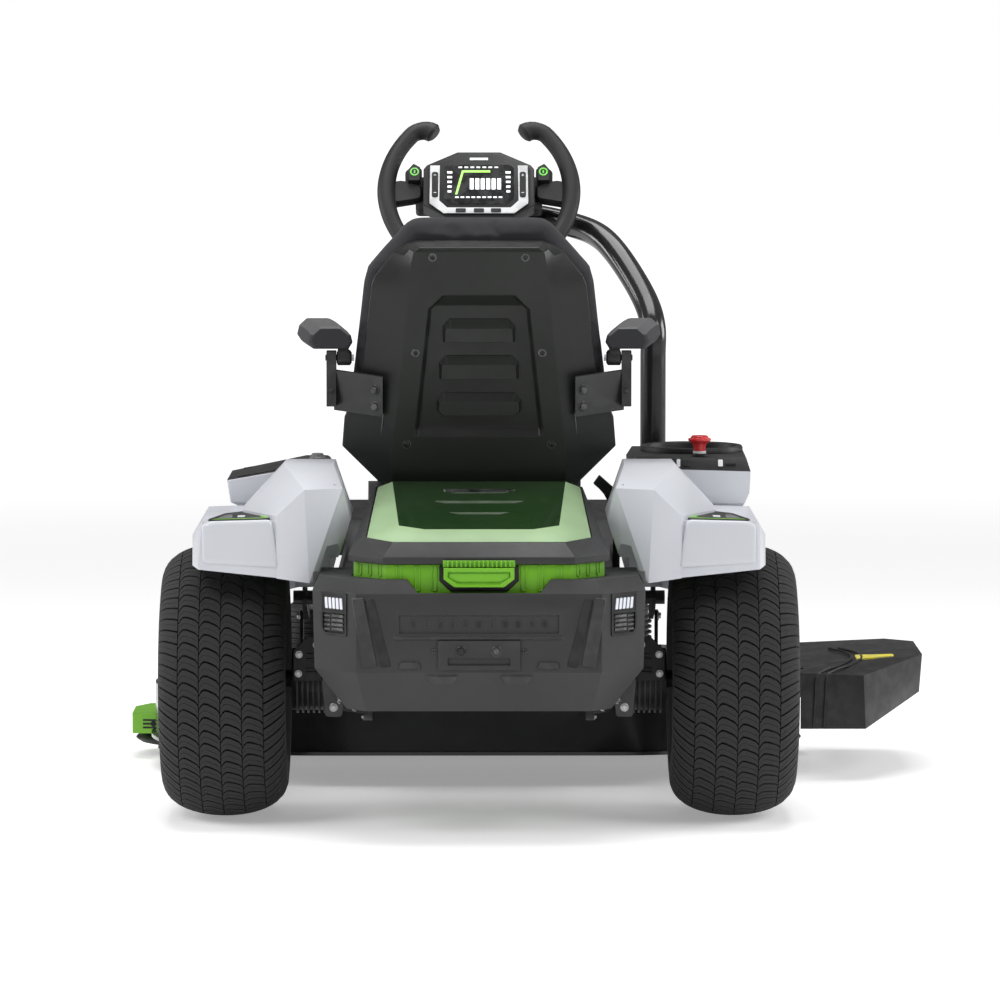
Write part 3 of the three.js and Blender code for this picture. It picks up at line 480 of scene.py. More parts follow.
LIT_GREEN = Finish(
    "lit_green", "screen_housing", (0.3, 0.7, 0.1), (0.35, 0.75, 0.12), smooth=0.3, rough=0.4, dust=0.0,
    glow=(0.4, 0.9, 0.12), strength=0.8
)
SCREEN_BLACK = Finish(
    "screen_black", "screen_housing", (0.008, 0.008, 0.009), (0.011, 0.011, 0.012), smooth=0.08, rough=0.16,
    depth=0.00001, dust=0.0, coat=0.6
)
YELLOW = Finish(
    "yellow_label", "black_plastic", (0.78, 0.66, 0.03), (0.82, 0.72, 0.06), smooth=0.3, rough=0.42, depth=0.00002,
    dust=0.02
)
LAMP_WHITE = Finish(
    "lamp_element", "lamp_plastic", (0.62, 0.64, 0.68), (0.74, 0.76, 0.8), smooth=0.1, rough=0.2, depth=0.00002,
    dust=0.0, glow=(0.8, 0.85, 1.0), strength=0.25, coat=0.5
)
CLEAR_GREEN = Tinted("clear_green", "tinted_window", (0.16, 0.42, 0.1), 0.04)
FROST_GREEN = Tinted("frosted_green", "tinted_window", (0.52, 0.74, 0.42), 0.3, 0.3)
SMOKED_GREEN = Finish(
    "smoked_green_top", "tinted_window", (0.012, 0.035, 0.01), (0.018, 0.05, 0.013), (0.1, 0.2, 0.08), 0.06, 0.14,
    900.0, 0.00001, 0.1, 0.01, coat=0.5
)
MARK_GREY = Finish(
    "grey_green_mark", "screen_housing", (0.07, 0.1, 0.06), (0.09, 0.12, 0.08), smooth=0.3, rough=0.4, dust=0.0
)
DIAL_GREY = Finish("grey_dial", "black_plastic", (0.12, 0.12, 0.125), (0.15, 0.15, 0.155), smooth=0.35, rough=0.5)


# ------------------------------------------------------------------------------------------------ surfaces


def unit(vector: Sequence[float]) -> Points:
    """The vector scaled to length one."""
    found = np.asarray(vector, float)
    return found / np.linalg.norm(found)


@dataclass(frozen=True)
class Plane:
    """A flat working frame: an origin, a direction across, one up and the outward one, which is their product."""

    origin: tuple[float, float, float]
    across: tuple[float, float, float] = (1.0, 0.0, 0.0)
    up: tuple[float, float, float] = (0.0, 0.0, 1.0)

    @property
    def out(self) -> Points:
        """The outward direction."""
        return np.cross(unit(self.across), unit(self.up))

    def at(self, flat: Sequence[Sequence[float]] | Points, height: float | Points = 0.0) -> Points:
        """Points given as (across, up) pairs and a height outwards, in mower millimetres.

        Args:
            flat: (..., 2) places across and up.
            height: one height, or one for each point.

        Returns:
            (..., 3) points.
        """
        pairs = np.asarray(flat, float)
        level = np.broadcast_to(np.asarray(height, float), pairs.shape[:-1])[..., None]
        return (
            np.asarray(self.origin)
            + pairs[..., :1] * unit(self.across)
            + pairs[..., 1:2] * unit(self.up)
            + level * self.out
        )


def mirrored(half: Sequence[Sequence[float]]) -> Points:
    """A closed outline from the points of its right half, listed upwards or downwards.

    Args:
        half: the right half's points, with X above 0.

    Returns:
        (2n, 2) points.
    """
    right = np.asarray(half, float)
    left = right[::-1] * [-1.0, 1.0]
    return np.vstack([right, left])


def rounded(outline: Sequence[Sequence[float]] | Points, radius: float, steps: int = 3) -> Points:
    """Rounds the corners of a closed flat outline.

    Each corner becomes a quadratic curve whose control point is the corner and whose ends lie radius away along
    the two edges, or at 45% of an edge that is shorter.

    Args:
        outline: (n, 2) corners in order.
        radius: how far from the corner the curve begins.
        steps: points on each curve less one.

    Returns:
        (n * (steps + 1), 2) points.
    """
    corners = np.asarray(outline, float)
    before, after = np.roll(corners, 1, 0) - corners, np.roll(corners, -1, 0) - corners
    reach = [np.minimum(radius / np.maximum(np.linalg.norm(e, axis=1), 1e-9), 0.45)[:, None] for e in (before, after)]
    start, end = corners + before * reach[0], corners + after * reach[1]
    t = np.linspace(0.0, 1.0, steps + 1)[None, :, None]
    curve = (1 - t) ** 2 * start[:, None] + 2 * t * (1 - t) * corners[:, None] + t**2 * end[:, None]
    return curve.reshape(-1, 2)


def rectangle(x0: float, x1: float, y0: float, y1: float) -> Points:
    """The four corners of a flat rectangle."""
    return np.array([[x0, y0], [x1, y0], [x1, y1], [x0, y1]], float)


def shrunk(outline: Points, amount: float) -> Points:
    """An outline drawn in towards its middle by about amount along each axis.

    Args:
        outline: (n, 2) points.
        amount: how far each side moves in.

    Returns:
        (n, 2) points.
    """
    middle = (outline.max(0) + outline.min(0)) / 2
    half = (outline.max(0) - outline.min(0)) / 2
    return middle + (outline - middle) * (1 - amount / np.maximum(half, amount * 1.05))


class Skin:
    """A mesh under way: closed shells of quads and caps, in mower millimetres, with a finish number for each face."""

    def __init__(self) -> None:
        """Starts empty."""
        self.points: list[Points] = []
        self.faces: list[tuple[int, ...]] = []
        self.tints: list[int] = []
        self.count = 0

    def add(self, points: Points, faces: Sequence[Sequence[int]] | Points, tint: int = 0) -> None:
        """Adds points and the faces between them, which count from the first of these points.

        Args:
            points: (..., 3) points.
            faces: each face's point numbers.
            tint: the faces' finish number.
        """
        rows = [tuple(int(i) + self.count for i in f) for f in faces]
        self.points.append(np.asarray(points, float).reshape(-1, 3))
        self.faces.extend(rows)
        self.tints.extend([tint] * len(rows))
        self.count += len(self.points[-1])

    def grid(self, points: Points, wrap: bool = False, loop: bool = False, caps: bool = False, tint: int = 0) -> None:
        """Quads over an array of points.

        Args:
            points: (rows, columns, 3).
            wrap: the last column joins the first.
            loop: the last row joins the first.
            caps: the first and last rows are closed with one face each.
            tint: the faces' finish number.
        """
        rows, columns = points.shape[:2]
        index = np.arange(rows * columns).reshape(rows, columns)
        if wrap:
            index = np.hstack([index, index[:, :1]])
        ends = [list(index[0, :columns][::-1]), list(index[-1, :columns])] if caps else []
        if loop:
            index = np.vstack([index, index[:1]])
        quads = np.stack([index[:-1, :-1], index[:-1, 1:], index[1:, 1:], index[1:, :-1]], -1).reshape(-1, 4)
        self.add(points, [*quads.tolist(), *ends], tint)

    def rings(self, rings: Sequence[Points], tint: int = 0) -> None:
        """A closed shell through rings of equally many points, with a face over each end."""
        self.grid(np.stack([np.asarray(r, float) for r in rings]), wrap=True, caps=True, tint=tint)

    def slab(self, plane: Plane, outline: Points, low: float, high: float, edge: float = 0.0, tint: int = 0) -> None:
        """A flat plate on a plane between two heights, whose top edge is chamfered by edge.

        Args:
            plane: where the plate lies.
            outline: (n, 2) points of its edge.
            low: its underside's height.
            high: its top's height.
            edge: the chamfer, or 0.
            tint: the faces' finish number.
        """
        rings = [plane.at(outline, low), plane.at(outline, high - edge)]
        if edge > 0:
            rings.append(plane.at(shrunk(outline, edge), high))
        self.rings(rings, tint)

    def turn(
        self, profile: Sequence[Sequence[float]], centre: Sequence[float], axis: Sequence[float], steps: int = 32,
        closed: bool = True, tint: int = 0
    ) -> None:
        """A surface of revolution: each [radius, along] of the profile makes a circle round the axis.

        Args:
            profile: (n, 2) radius and distance along the axis.
            centre: the point where along is 0.
            axis: the direction of the axis.
            steps: points round each circle.
            closed: the profile is a closed loop; otherwise its ends lie on the axis.
            tint: the faces' finish number.
        """
        line = unit(axis)
        side = unit(np.cross(line, [0.31, 0.17, 0.94] if abs(line[2]) < 0.9 else [1.0, 0.0, 0.0]))
        turn = np.linspace(0, 2 * math.pi, steps, endpoint=False)
        spokes = np.cos(turn)[:, None] * side + np.sin(turn)[:, None] * np.cross(line, side)
        shape = np.asarray(profile, float)
        points = np.asarray(centre) + shape[:, None, :1] * spokes[None] + shape[:, None, 1:] * line
        self.grid(points, wrap=True, loop=closed, tint=tint)

    def tube(self, path: Points, radius: float | Points, steps: int = 16, squash: float = 1.0, tint: int = 0) -> None:
        """A round or oval bar along a path: a circle carried along it without twist, by parallel transport.

        Args:
            path: (n, 3) centreline.
            radius: one radius, or one for each point.
            steps: points round the section.
            squash: the section's second half-axis as a share of its first.
            tint: the faces' finish number.
        """
        line = np.asarray(path, float)
        heading = np.gradient(line, axis=0)
        heading /= np.linalg.norm(heading, axis=1)[:, None]
        side = np.zeros_like(line)
        seed = [0.0, 0.0, 1.0] if abs(heading[0][2]) < 0.9 else [0.0, 1.0, 0.0]
        side[0] = unit(np.cross(heading[0], seed))
        for i in range(1, len(line)):
            side[i] = unit(side[i - 1] - heading[i] * (side[i - 1] @ heading[i]))
        other = np.cross(heading, side) * squash
        turn = np.linspace(0, 2 * math.pi, steps, endpoint=False)
        size = np.broadcast_to(np.asarray(radius, float), (len(line),))[:, None, None]
        section = np.cos(turn)[None, :, None] * side[:, None] + np.sin(turn)[None, :, None] * other[:, None]
        self.grid(line[:, None] + size * section, wrap=True, caps=True, tint=tint)

    def bolt(self, centre: Sequence[float], axis: Sequence[float], radius: float = 6.0, tint: int = 0) -> None:
        """A hexagon bolt head on a round washer, standing along axis from centre.

        Args:
            centre: where it sits.
            axis: which way it stands.
            radius: the head's radius.
            tint: the faces' finish number.
        """
        self.turn(
            [[0.001, -1], [radius * 1.45, -1], [radius * 1.45, 0.8], [radius * 1.3, 1.4], [0.001, 1.4]], centre, axis,
            18, False, tint
        )
        h = radius * 0.72
        self.turn(
            [[0.001, 1], [radius, 1], [radius, h], [radius * 0.86, h + 1.1], [0.001, h + 1.1]], centre, axis, 6,
            False, tint
        )

    def screw(self, centre: Sequence[float], axis: Sequence[float], radius: float = 5.0, tint: int = 0) -> None:
        """A domed screw head with a six-sided socket, standing along axis from centre."""
        dome = [
            [0.001, -1], [radius, -1], [radius, 0.6], [radius * 0.9, 1.8], [radius * 0.6, 2.7], [radius * 0.42, 2.9],
            [radius * 0.4, 0.9], [0.001, 0.9]
        ]
        self.turn(dome, centre, axis, 18, False, tint)

    def finish(
        self, name: str, body: str, finishes: Sequence[Finish | Tinted] | Finish | Tinted, bevel: float = 0.0,
        sharp: float = 35.0, segments: int = 2
    ) -> bpy.types.Object:
        """Makes the object: merges doubles, turns every shell's faces outwards, and puts it on its body.

        Args:
            name: the piece's name.
            body: the CAD body that it rides on.
            finishes: one finish, or several that the faces' numbers choose from.
            bevel: width of a bevel modifier in millimetres, or 0.
            sharp: edges above this many degrees are drawn sharp.
            segments: the bevel's segments.

        Returns:
            The finished object.
        """
        listed = list(finishes) if isinstance(finishes, (list, tuple)) else [finishes]
        mesh = bpy.data.meshes.new(name)
        points = np.vstack(self.points) * MM + DATUM
        mesh.from_pydata(points.tolist(), [], self.faces)
        mesh.polygons.foreach_set("material_index", np.array(self.tints, np.int32))
        for item in listed:
            mesh.materials.append(item.material())
        tidy(mesh, 2e-5)
        return settle(mesh, name, body, bevel, sharp, segments)


def tidy(mesh: bpy.types.Mesh, distance: float, flat: float = 0.0) -> None:
    """Merges doubles, optionally dissolves nearly flat edges, and turns closed shells outwards.

    Args:
        mesh: the mesh, changed in place.
        distance: points nearer than this merge, in metres.
        flat: edges flatter than this many degrees are dissolved, or 0.
    """
    work = bmesh.new()
    work.from_mesh(mesh)
    bmesh.ops.remove_doubles(work, verts=work.verts, dist=distance)
    bmesh.ops.dissolve_degenerate(work, edges=work.edges, dist=distance)
    if flat > 0:
        bmesh.ops.dissolve_limit(work, angle_limit=math.radians(flat), verts=work.verts, edges=work.edges)
    bmesh.ops.recalc_face_normals(work, faces=work.faces)
    work.to_mesh(mesh)
    work.free()


def settle(
    mesh: bpy.types.Mesh, name: str, body: str, bevel: float = 0.0, sharp: float = 35.0, segments: int = 2
) -> bpy.types.Object:
    """Links a mesh as a piece that rides on a body, with smooth faces between its sharp edges.

    Args:
        mesh: the finished mesh, in row-frame metres.
        name: the piece's name.
        body: the CAD body.
        bevel: bevel width in millimetres, or 0.
        sharp: edges above this many degrees are drawn sharp.
        segments: the bevel's segments.

    Returns:
        The new object.
    """
    mesh.polygons.foreach_set("use_smooth", np.ones(len(mesh.polygons), bool))
    mesh.set_sharp_from_angle(angle=math.radians(sharp if bevel <= 0 else 60.0))
    piece = bpy.data.objects.new(name, mesh)
    bpy.context.scene.collection.objects.link(piece)
    if bevel > 0:
        soft = piece.modifiers.new("rounded_edges", "BEVEL")
        soft.width, soft.segments = bevel * MM, segments
        soft.limit_method, soft.angle_limit = "ANGLE", ROUND_FROM
        soft.harden_normals = True
        soft.use_clamp_overlap = True
    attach(piece, body)
    LOG.info("piece %s on %s: %d faces", name, body, len(mesh.polygons))
    return piece


ROUND_FROM = math.radians(22.0)
BODY_OF = {node: body for body, nodes in frame["record"]["behaviour"]["bodies"].items() for node in nodes}


def refined(
    node: str, finish: Finish | Tinted, bevel: float = 1.5, name: str | None = None, segments: int = 2
) -> bpy.types.Object:
    """A rounded-edge copy of a CAD node that stands for it.

    Args:
        node: the CAD node.
        finish: the copy's finish.
        bevel: how far its edges are rounded, in millimetres.
        name: the piece's name, or the node's with _skin added.
        segments: the bevel's segments.

    Returns:
        The copy.
    """
    mesh = frame["nodes"][node].data.copy()
    mesh.materials.clear()
    mesh.materials.append(finish.material())
    mesh.polygons.foreach_set("material_index", np.zeros(len(mesh.polygons), np.int32))
    tidy(mesh, 1e-5, 1.0)
    piece = settle(mesh, name or f"{node}_skin", BODY_OF[node], bevel, 35.0, segments)
    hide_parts(node)
    return piece


def retint(piece: bpy.types.Object, finish: Finish | Tinted, chosen: Callable[[Points, Points], Points]) -> None:
    """Gives some faces of a piece a further finish.

    Args:
        piece: the piece.
        finish: the finish to add.
        chosen: says which faces take it, from their middles in mower millimetres and their normals.
    """
    mesh = piece.data
    mesh.materials.append(finish.material())
    count = len(mesh.polygons)
    read = {}
    for label in ("center", "normal"):
        flat = np.zeros(count * 3, np.float32)
        mesh.polygons.foreach_get(label, flat)
        read[label] = flat.reshape(-1, 3).astype(float)
    index = np.zeros(count, np.int32)
    mesh.polygons.foreach_get("material_index", index)
    picked = chosen((read["center"] - DATUM) / MM, read["normal"])
    mesh.polygons.foreach_set("material_index", np.where(picked, len(mesh.materials) - 1, index).astype(np.int32))


def smooth_path(points: Sequence[Sequence[float]], count: int) -> Points:
    """A smooth line through points: a centripetal Catmull-Rom curve, sampled evenly in its parameter.

    Args:
        points: (n, 3) points to pass through.
        count: how many points to give.

    Returns:
        (count, 3) points.
    """
    p = np.asarray(points, float)
    p = np.vstack([2 * p[0] - p[1], p, 2 * p[-1] - p[-2]])
    gaps = np.sqrt(np.linalg.norm(np.diff(p, axis=0), axis=1))
    knots = np.concatenate([[0], np.cumsum(gaps)])
    t = np.linspace(knots[1], knots[-2] - 1e-6, count)
    i = np.clip(np.searchsorted(knots, t, "right") - 1, 1, len(p) - 3)

    def between(a: Points, b: Points, ta: Points, tb: Points) -> Points:
        """A straight blend of a and b at t between ta and tb."""
        share = ((t - ta) / (tb - ta))[:, None]
        return a * (1 - share) + b * share

    k = [knots[i + j] for j in (-1, 0, 1, 2)]
    q = [p[i + j] for j in (-1, 0, 1, 2)]
    a1, a2, a3 = between(q[0], q[1], k[0], k[1]), between(q[1], q[2], k[1], k[2]), between(q[2], q[3], k[2], k[3])
    b1, b2 = between(a1, a2, k[0], k[2]), between(a2, a3, k[1], k[3])
    return between(b1, b2, k[1], k[2])


# ------------------------------------------------------------------------------------------------ wheels


@dataclass
class Wheel:
    """One tyre and its rim: zigzag tread blocks in columns over a plain carcass, on a pressed rim."""

    body: str
    name: str
    centre: tuple[float, float, float]
    radius: float = 228.0
    half_width: float = 106.0
    bead: float = 104.0
    tread: float = 7.0
    pitches: int = 62
    column: float = 35.0
    columns: int = 4
    outward: int = 1
    web: float = 25.0
    studs: int = 4
    stud_circle: float = 50.0

    def crown(self, across: Points) -> Points:
        """The tyre's outer radius over its width: the cube root of one less the squared share, over a fixed base.

        Args:
            across: distances from the tyre's middle.

        Returns:
            The radius at each.
        """
        share = np.clip(np.abs(across) / (self.half_width - 0.5), 0, 1)
        base = self.radius - (self.radius - self.bead) * 0.62
        return base + (self.radius - base) * np.cbrt(1 - share**2)

    def blocks(self, skin: Skin) -> None:
        """Tread blocks: in each column an S-shaped band, copied round the tyre, lifted off the carcass.

        A block's lower edge follows a fixed zigzag of its width, its upper edge is the same zigzag 84% of a pitch
        further round, and a shallow slit runs between them. Neighbouring columns stand half a pitch apart.

        Args:
            skin: the mesh to add to.
        """
        share = np.array([0.0, 0.1, 0.24, 0.42, 0.76, 0.88, 1.0])
        zigzag = np.array([0.16, -0.12, -0.3, -0.26, -0.02, 0.1, 0.34])
        rise = np.array([0.0, 0.38, 0.42, 0.46, 0.84])
        edge = self.columns * self.column / 2
        spans = [(-edge + k * self.column, -edge + (k + 1) * self.column) for k in range(self.columns)]
        shoulder = self.half_width - edge - 2.0
        spans = [(-edge - shoulder, -edge), *spans, (edge, edge + shoulder)]
        pitch = 2 * math.pi / self.pitches
        turn = np.arange(self.pitches) * pitch
        for k, (x0, x1) in enumerate(spans):
            outer = k in (0, len(spans) - 1)
            x = x0 + 0.7 + share * (x1 - x0 - 1.4)
            wave = zigzag if not outer else np.interp(
                share if k else 1 - share, [0, 0.3, 1], [0.0, -0.2, -0.75]
            ) + 0.3
            angle = (wave[None] + rise[:, None] + 0.5 * (k % 2)) * pitch
            slit = np.where((rise == 0.42)[:, None] & ((share > 0.05) & (share < 0.95))[None], 0.9, 0.0)
            top = self.crown(x)[None] - slit
            self.copies(skin, np.broadcast_to(x, angle.shape), angle, top, turn)

    def copies(self, skin: Skin, x: Points, angle: Points, top: Points, turn: Points) -> None:
        """Adds one block at every turn: its top grid, a skirt down into the carcass and a closing face.

        The skirt's foot stands half a millimetre further out than the grid's rim, so the block's sides slope.

        Args:
            skin: the mesh to add to.
            x: (rows, columns) places across the tyre.
            angle: (rows, columns) angles round the tyre.
            top: (rows, columns) radii of the block's top.
            turn: the angle of each copy.
        """
        rows, columns = angle.shape
        index = np.arange(rows * columns).reshape(rows, columns)
        rim = np.concatenate([index[0], index[1:, -1], index[-1, -2::-1], index[-2:0:-1, 0]])
        quads = np.stack([index[:-1, :-1], index[:-1, 1:], index[1:, 1:], index[1:, :-1]], -1).reshape(-1, 4)
        flat_x, flat_angle = x.ravel(), angle.ravel()
        base_x, base_angle = flat_x[rim], flat_angle[rim]
        base_x = base_x + np.sign(base_x - flat_x.mean()) * 0.5
        base_angle = base_angle + np.sign(base_angle - flat_angle.mean()) * 0.5 / self.radius
        base_r = self.crown(base_x) - self.tread - 1.5
        all_x = np.concatenate([flat_x, base_x])
        all_angle = np.concatenate([flat_angle, base_angle])
        all_r = np.concatenate([top.ravel(), base_r])
        n, m = rows * columns, len(rim)
        skirt = np.stack([rim, np.roll(rim, -1), n + (np.arange(m) + 1) % m, n + np.arange(m)], -1)
        faces = [*quads.tolist(), *skirt.tolist(), list(range(n + m - 1, n - 1, -1))]
        spin = all_angle[None] + turn[:, None]
        cx, cy, cz = self.centre
        points = np.stack(
            [np.broadcast_to(cx + all_x, spin.shape), cy + all_r * np.cos(spin), cz + all_r * np.sin(spin)], -1
        )
        for block in points:
            skin.add(block, faces)

    def make_tyre(self) -> None:
        """The carcass, its side ribs and its tread."""
        h, w = self.radius - self.bead, self.half_width
        across = np.sin(np.linspace(-1, 1, 25) * math.pi / 2) * (w - 1.5)
        crown = np.stack([self.crown(across) - self.tread, across], -1)
        side = np.array(
            [
                [0.3, 0.985], [0.27, 0.965], [0.25, 0.975], [0.2, 0.96], [0.18, 0.94], [0.12, 0.9], [0.1, 0.905],
                [0.06, 0.885], [0.0, 0.845]
            ]
        )
        right = np.stack([self.bead + side[:, 0] * h, side[:, 1] * w], -1)
        inside = np.array(
            [[self.bead, 0.75 * w], [self.bead + 0.5 * h, 0.84 * w], [self.radius - self.tread - 6, 0.6 * w]]
        )
        left = right[::-1] * [1, -1]
        profile = np.vstack([left, crown, right, inside, inside[::-1] * [1, -1]])
        skin = Skin()
        skin.turn(profile, self.centre, (1, 0, 0), 96)
        self.blocks(skin)
        piece = skin.finish(f"{self.name}_tyre_tread", self.body, RUBBER, sharp=28.0)
        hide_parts(f"{self.name}_tyre")

    def make_rim(self) -> None:
        """The rim: two seats, a dished web with a hub, a cap, wheel studs and a valve."""
        b, seat, o = self.bead, 0.83 * self.half_width + 1, self.outward
        t, web = 4.0, self.web
        edge = seat + 3.6
        profile = [
            [b + 8, -edge], [b + 7, -edge + 2], [b - 0.4, -seat],
            [b - 1, -seat + 12], [b - 5, -seat + 16], [b - 5, seat - 16],
            [b - 1, seat - 12], [b - 0.4, seat], [b + 7, edge - 2], [b + 8, edge], [b + 4, edge], [b - 4, seat - 3],
            [b - 9, seat - 18], [b - 9, web + 14], [b - 16, web + t], [b * 0.72, web + t - 6], [b * 0.55, web + t + 4],
            [b * 0.32, web + t + 4], [b * 0.3, web + 12], [9.5, web + 12], [9.5, web + 3], [b * 0.24, web + 3],
            [b * 0.25, web - 4], [b * 0.55, web - 4], [b * 0.72, web - 14 + t], [b - 16, web - t], [b - 9, web - 12],
            [b - 9, 18 - seat], [b - 4, 3 - seat], [b + 4, -edge],
        ]
        skin = Skin()
        skin.turn([[r, o * x] for r, x in profile], self.centre, (1, 0, 0), 72)
        cx, cy, cz = self.centre
        face = cx + o * (web + t + 4)
        skin.turn(
            [[0.001, 0], [b * 0.3, 0], [b * 0.3, 9], [b * 0.22, 14], [0.001, 15]], (cx + o * (web + 8), cy, cz),
            (o, 0, 0), 32, False, 1
        )
        for k in range(self.studs):
            a = 2 * math.pi * (k + 0.5) / self.studs
            r = self.stud_circle
            skin.bolt((face, cy + r * math.cos(a), cz + r * math.sin(a)), (o, 0, 0), b * 0.075, 2)
        valve = (cx + o * (web + 6), cy + b - 14, cz)
        skin.turn([[0.001, 0], [4, 0], [4, 12], [3, 13], [3, 24], [0.001, 25]], valve, (o, -0.25, 0), 12, False, 1)
        piece = skin.finish(f"{self.name}_rim_skin", self.body, [SATIN_BLACK, BLACK_PLASTIC, ZINC], sharp=30.0)
        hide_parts(f"{self.name}_rim")

    def make(self) -> None:
        """Both pieces."""
        self.make_tyre()
        self.make_rim()


@dataclass
class Caster:
    """A front caster: its fork with a grease nipple, a cap and an axle bolt, and its small wheel."""

    side: Side
    x: float = 430.0
    y: float = 1330.0
    trail: float = 70.0

    def make(self) -> None:
        """The fork's skin, its fasteners and the wheel."""
        label, sign = self.side.label, self.side.value
        refined(f"{label}_caster_fork", SATIN_BLACK, 1.5)
        axle = (sign * self.x, self.y - self.trail, 140.0)
        skin = Skin()
        for s in (-1, 1):
            skin.bolt((axle[0] + s * 62.0, axle[1], axle[2]), (s, 0, 0), 11.0)
        skin.turn(
            [[0.001, 0], [24, 0], [24, 5], [19, 10], [0.001, 12]], (sign * self.x, self.y, 410.5), (0, 0, 1), 28,
            False, 1
        )
        skin.turn(
            [[0.001, 0], [4, 0], [4, 5], [2.4, 7], [2.4, 11], [0.001, 12]], (sign * self.x, self.y, 421), (0, 0, 1),
            10, False
        )
        skin.finish(f"{label}_caster_fasteners", f"{label}_caster", [ZINC, BLACK_PLASTIC])
        Wheel(
            f"{label}_front_wheel", f"{label}_front", axle, 140.0, 51.0, 66.0, 5.0, 44, 24.0, 2,
            outward=sign, web=5.0, studs=0,
        ).make()


# ------------------------------------------------------------------------------------------------ chassis


@dataclass
class Chassis:
    """Rails, axle beam, drive motors, hanger links and springs, floor pan with its mat, and the pedals."""

    axle_z: float = 228.0
    pan_top: float = 317.0
    pedal_y: float = 1250.0
    pedal_z: float = 345.0
    pedal_lean: float = 68.0

    def spring(
        self, skin: Skin, top: Sequence[float], bottom: Sequence[float], radius: float, turns: int, tint: int = 0
    ) -> None:
        """A coil spring: a helix of the given radius between two points, with a hook line at each end.

        Args:
            skin: the mesh to add to.
            top: its upper end.
            bottom: its lower end.
            radius: the coil's radius.
            turns: how many turns it has.
            tint: the faces' finish number.
        """
        a, b = np.asarray(top, float), np.asarray(bottom, float)
        line = unit(b - a)
        side = unit(np.cross(line, [0.2, 1.0, 0.1]))
        other = np.cross(line, side)
        t = np.linspace(0, 1, turns * 10)
        swell = radius * np.clip(np.minimum(t, 1 - t) * 14, 0, 1)
        turn = t * turns * 2 * math.pi
        coil = a + t[:, None] * (b - a) + swell[:, None] * (
            np.cos(turn)[:, None] * side + np.sin(turn)[:, None] * other
        )
        skin.tube(coil, 1.7, 6, tint=tint)

    def drive_motor(self, side: Side) -> None:
        """The gear case and motor can with cooling ribs, bolts, a brake cover and a cable gland.

        Args:
            side: which side it is on.
        """
        label, s = side.label, side.value
        refined(f"{label}_drive_motor", BLACK_PLASTIC, 2.0)
        skin = Skin()
        for k in range(6):
            x = 256 + k * 9
            skin.turn([[50, 0], [57, 0], [57, 3.5], [50, 3.5]], (s * x, 0, self.axle_z), (s, 0, 0), 40)
        for k in range(6):
            a = 2 * math.pi * k / 6 + 0.4
            skin.bolt((s * 192, 62 * math.cos(a), self.axle_z + 62 * math.sin(a)), (s, 0, 0), 5.0, 1)
        skin.turn([[0.001, 0], [9, 0], [9, 16], [6, 22], [0.001, 22]], (s * 225, -54, 258), (0, -1, 0.4), 16, False)
        for z in (246, 252, 268, 276):
            skin.slab(Plane((s * 276, -62.2, z)), rectangle(-11, 11, -1.6, 1.6), -1, 2.4, 0.6)
        for x, z in ((270, 292), (300, 244), (299, 276)):
            skin.bolt((s * x, -62, z), (0, -1, 0), 4.5, 1)
        skin.finish(f"{label}_drive_motor_details", "chassis", [BLACK_PLASTIC, ZINC])

    def undercarriage(self) -> None:
        """Small brackets, springs and short cables between the tail and the wheels, and the rails' bolts."""
        skin = Skin()
        for s in (-1, 1):
            self.spring(skin, (s * 196, -120, 262), (s * 204, -176, 196), 6.5, 11, 1)
            self.spring(skin, (s * 226, -110, 250), (s * 228, -150, 205), 5.0, 9, 1)
            plate = rounded([[-14, -34], [14, -34], [20, 30], [-20, 30]], 6)
            skin.slab(Plane((s * 240, -126, 214)), plate, -3, 3, 0.8)
            skin.slab(Plane((s * 192, -120, 232)), rounded(rectangle(-12, 12, -22, 34), 5), -3, 3, 0.8)
            skin.tube(
                smooth_path(
                    [[s * 182, -98, 250], [s * 214, -112, 244], [s * 246, -100, 238], [s * 262, -62, 246]], 24
                ),
                4.2, 10
            )
            skin.tube(
                smooth_path(
                    [[s * 182, -90, 236], [s * 208, -116, 222], [s * 240, -118, 240], [s * 268, -64, 258]], 24
                ),
                3.4, 10
            )
            skin.bolt((s * 240, -129, 238), (0, -1, 0), 5.0, 1)
            skin.bolt((s * 240, -129, 196), (0, -1, 0), 5.0, 1)
            for y in (-60, 0, 60):
                skin.bolt((s * 169, y, 292), (-s, 0, 0), 6.0, 1)
            for y in (-20, 20):
                skin.bolt((s * 70, 1340 + y * 0.6, 366), (0, 0, 1), 7.0, 1)
        skin.finish("undercarriage_fittings", "chassis", [SATIN_BLACK, ZINC])

    def floor_mat(self) -> None:
        """A rubber foot mat of raised bars, and rubber strips up the toe board."""
        skin = Skin()
        deck = Plane((0, 0, self.pan_top), (1, 0, 0), (0, 1, 0))
        skin.slab(deck, rounded(rectangle(-236, 236, 736, 1212), 18), -0.5, 3.0, 1.0)
        for row in range(15):
            y = 756 + row * 31
            for column in range(6):
                x = -190 + column * 76 + (row % 2) * 19 - 9
                skin.slab(deck, rounded(rectangle(x - 27, x + 27, y - 5, y + 5), 4, 2), 2.5, 5.5, 1.0)
        toe = Plane((0, 1295, 379.2), (1, 0, 0), (0, 185, 24))
        for row in range(4):
            skin.slab(toe, rounded(rectangle(-214, 214, 22 + row * 38, 40 + row * 38), 5, 2), -0.8, 3.2, 1.0)
        skin.finish("foot_mat", "chassis", RUBBER, sharp=30.0)

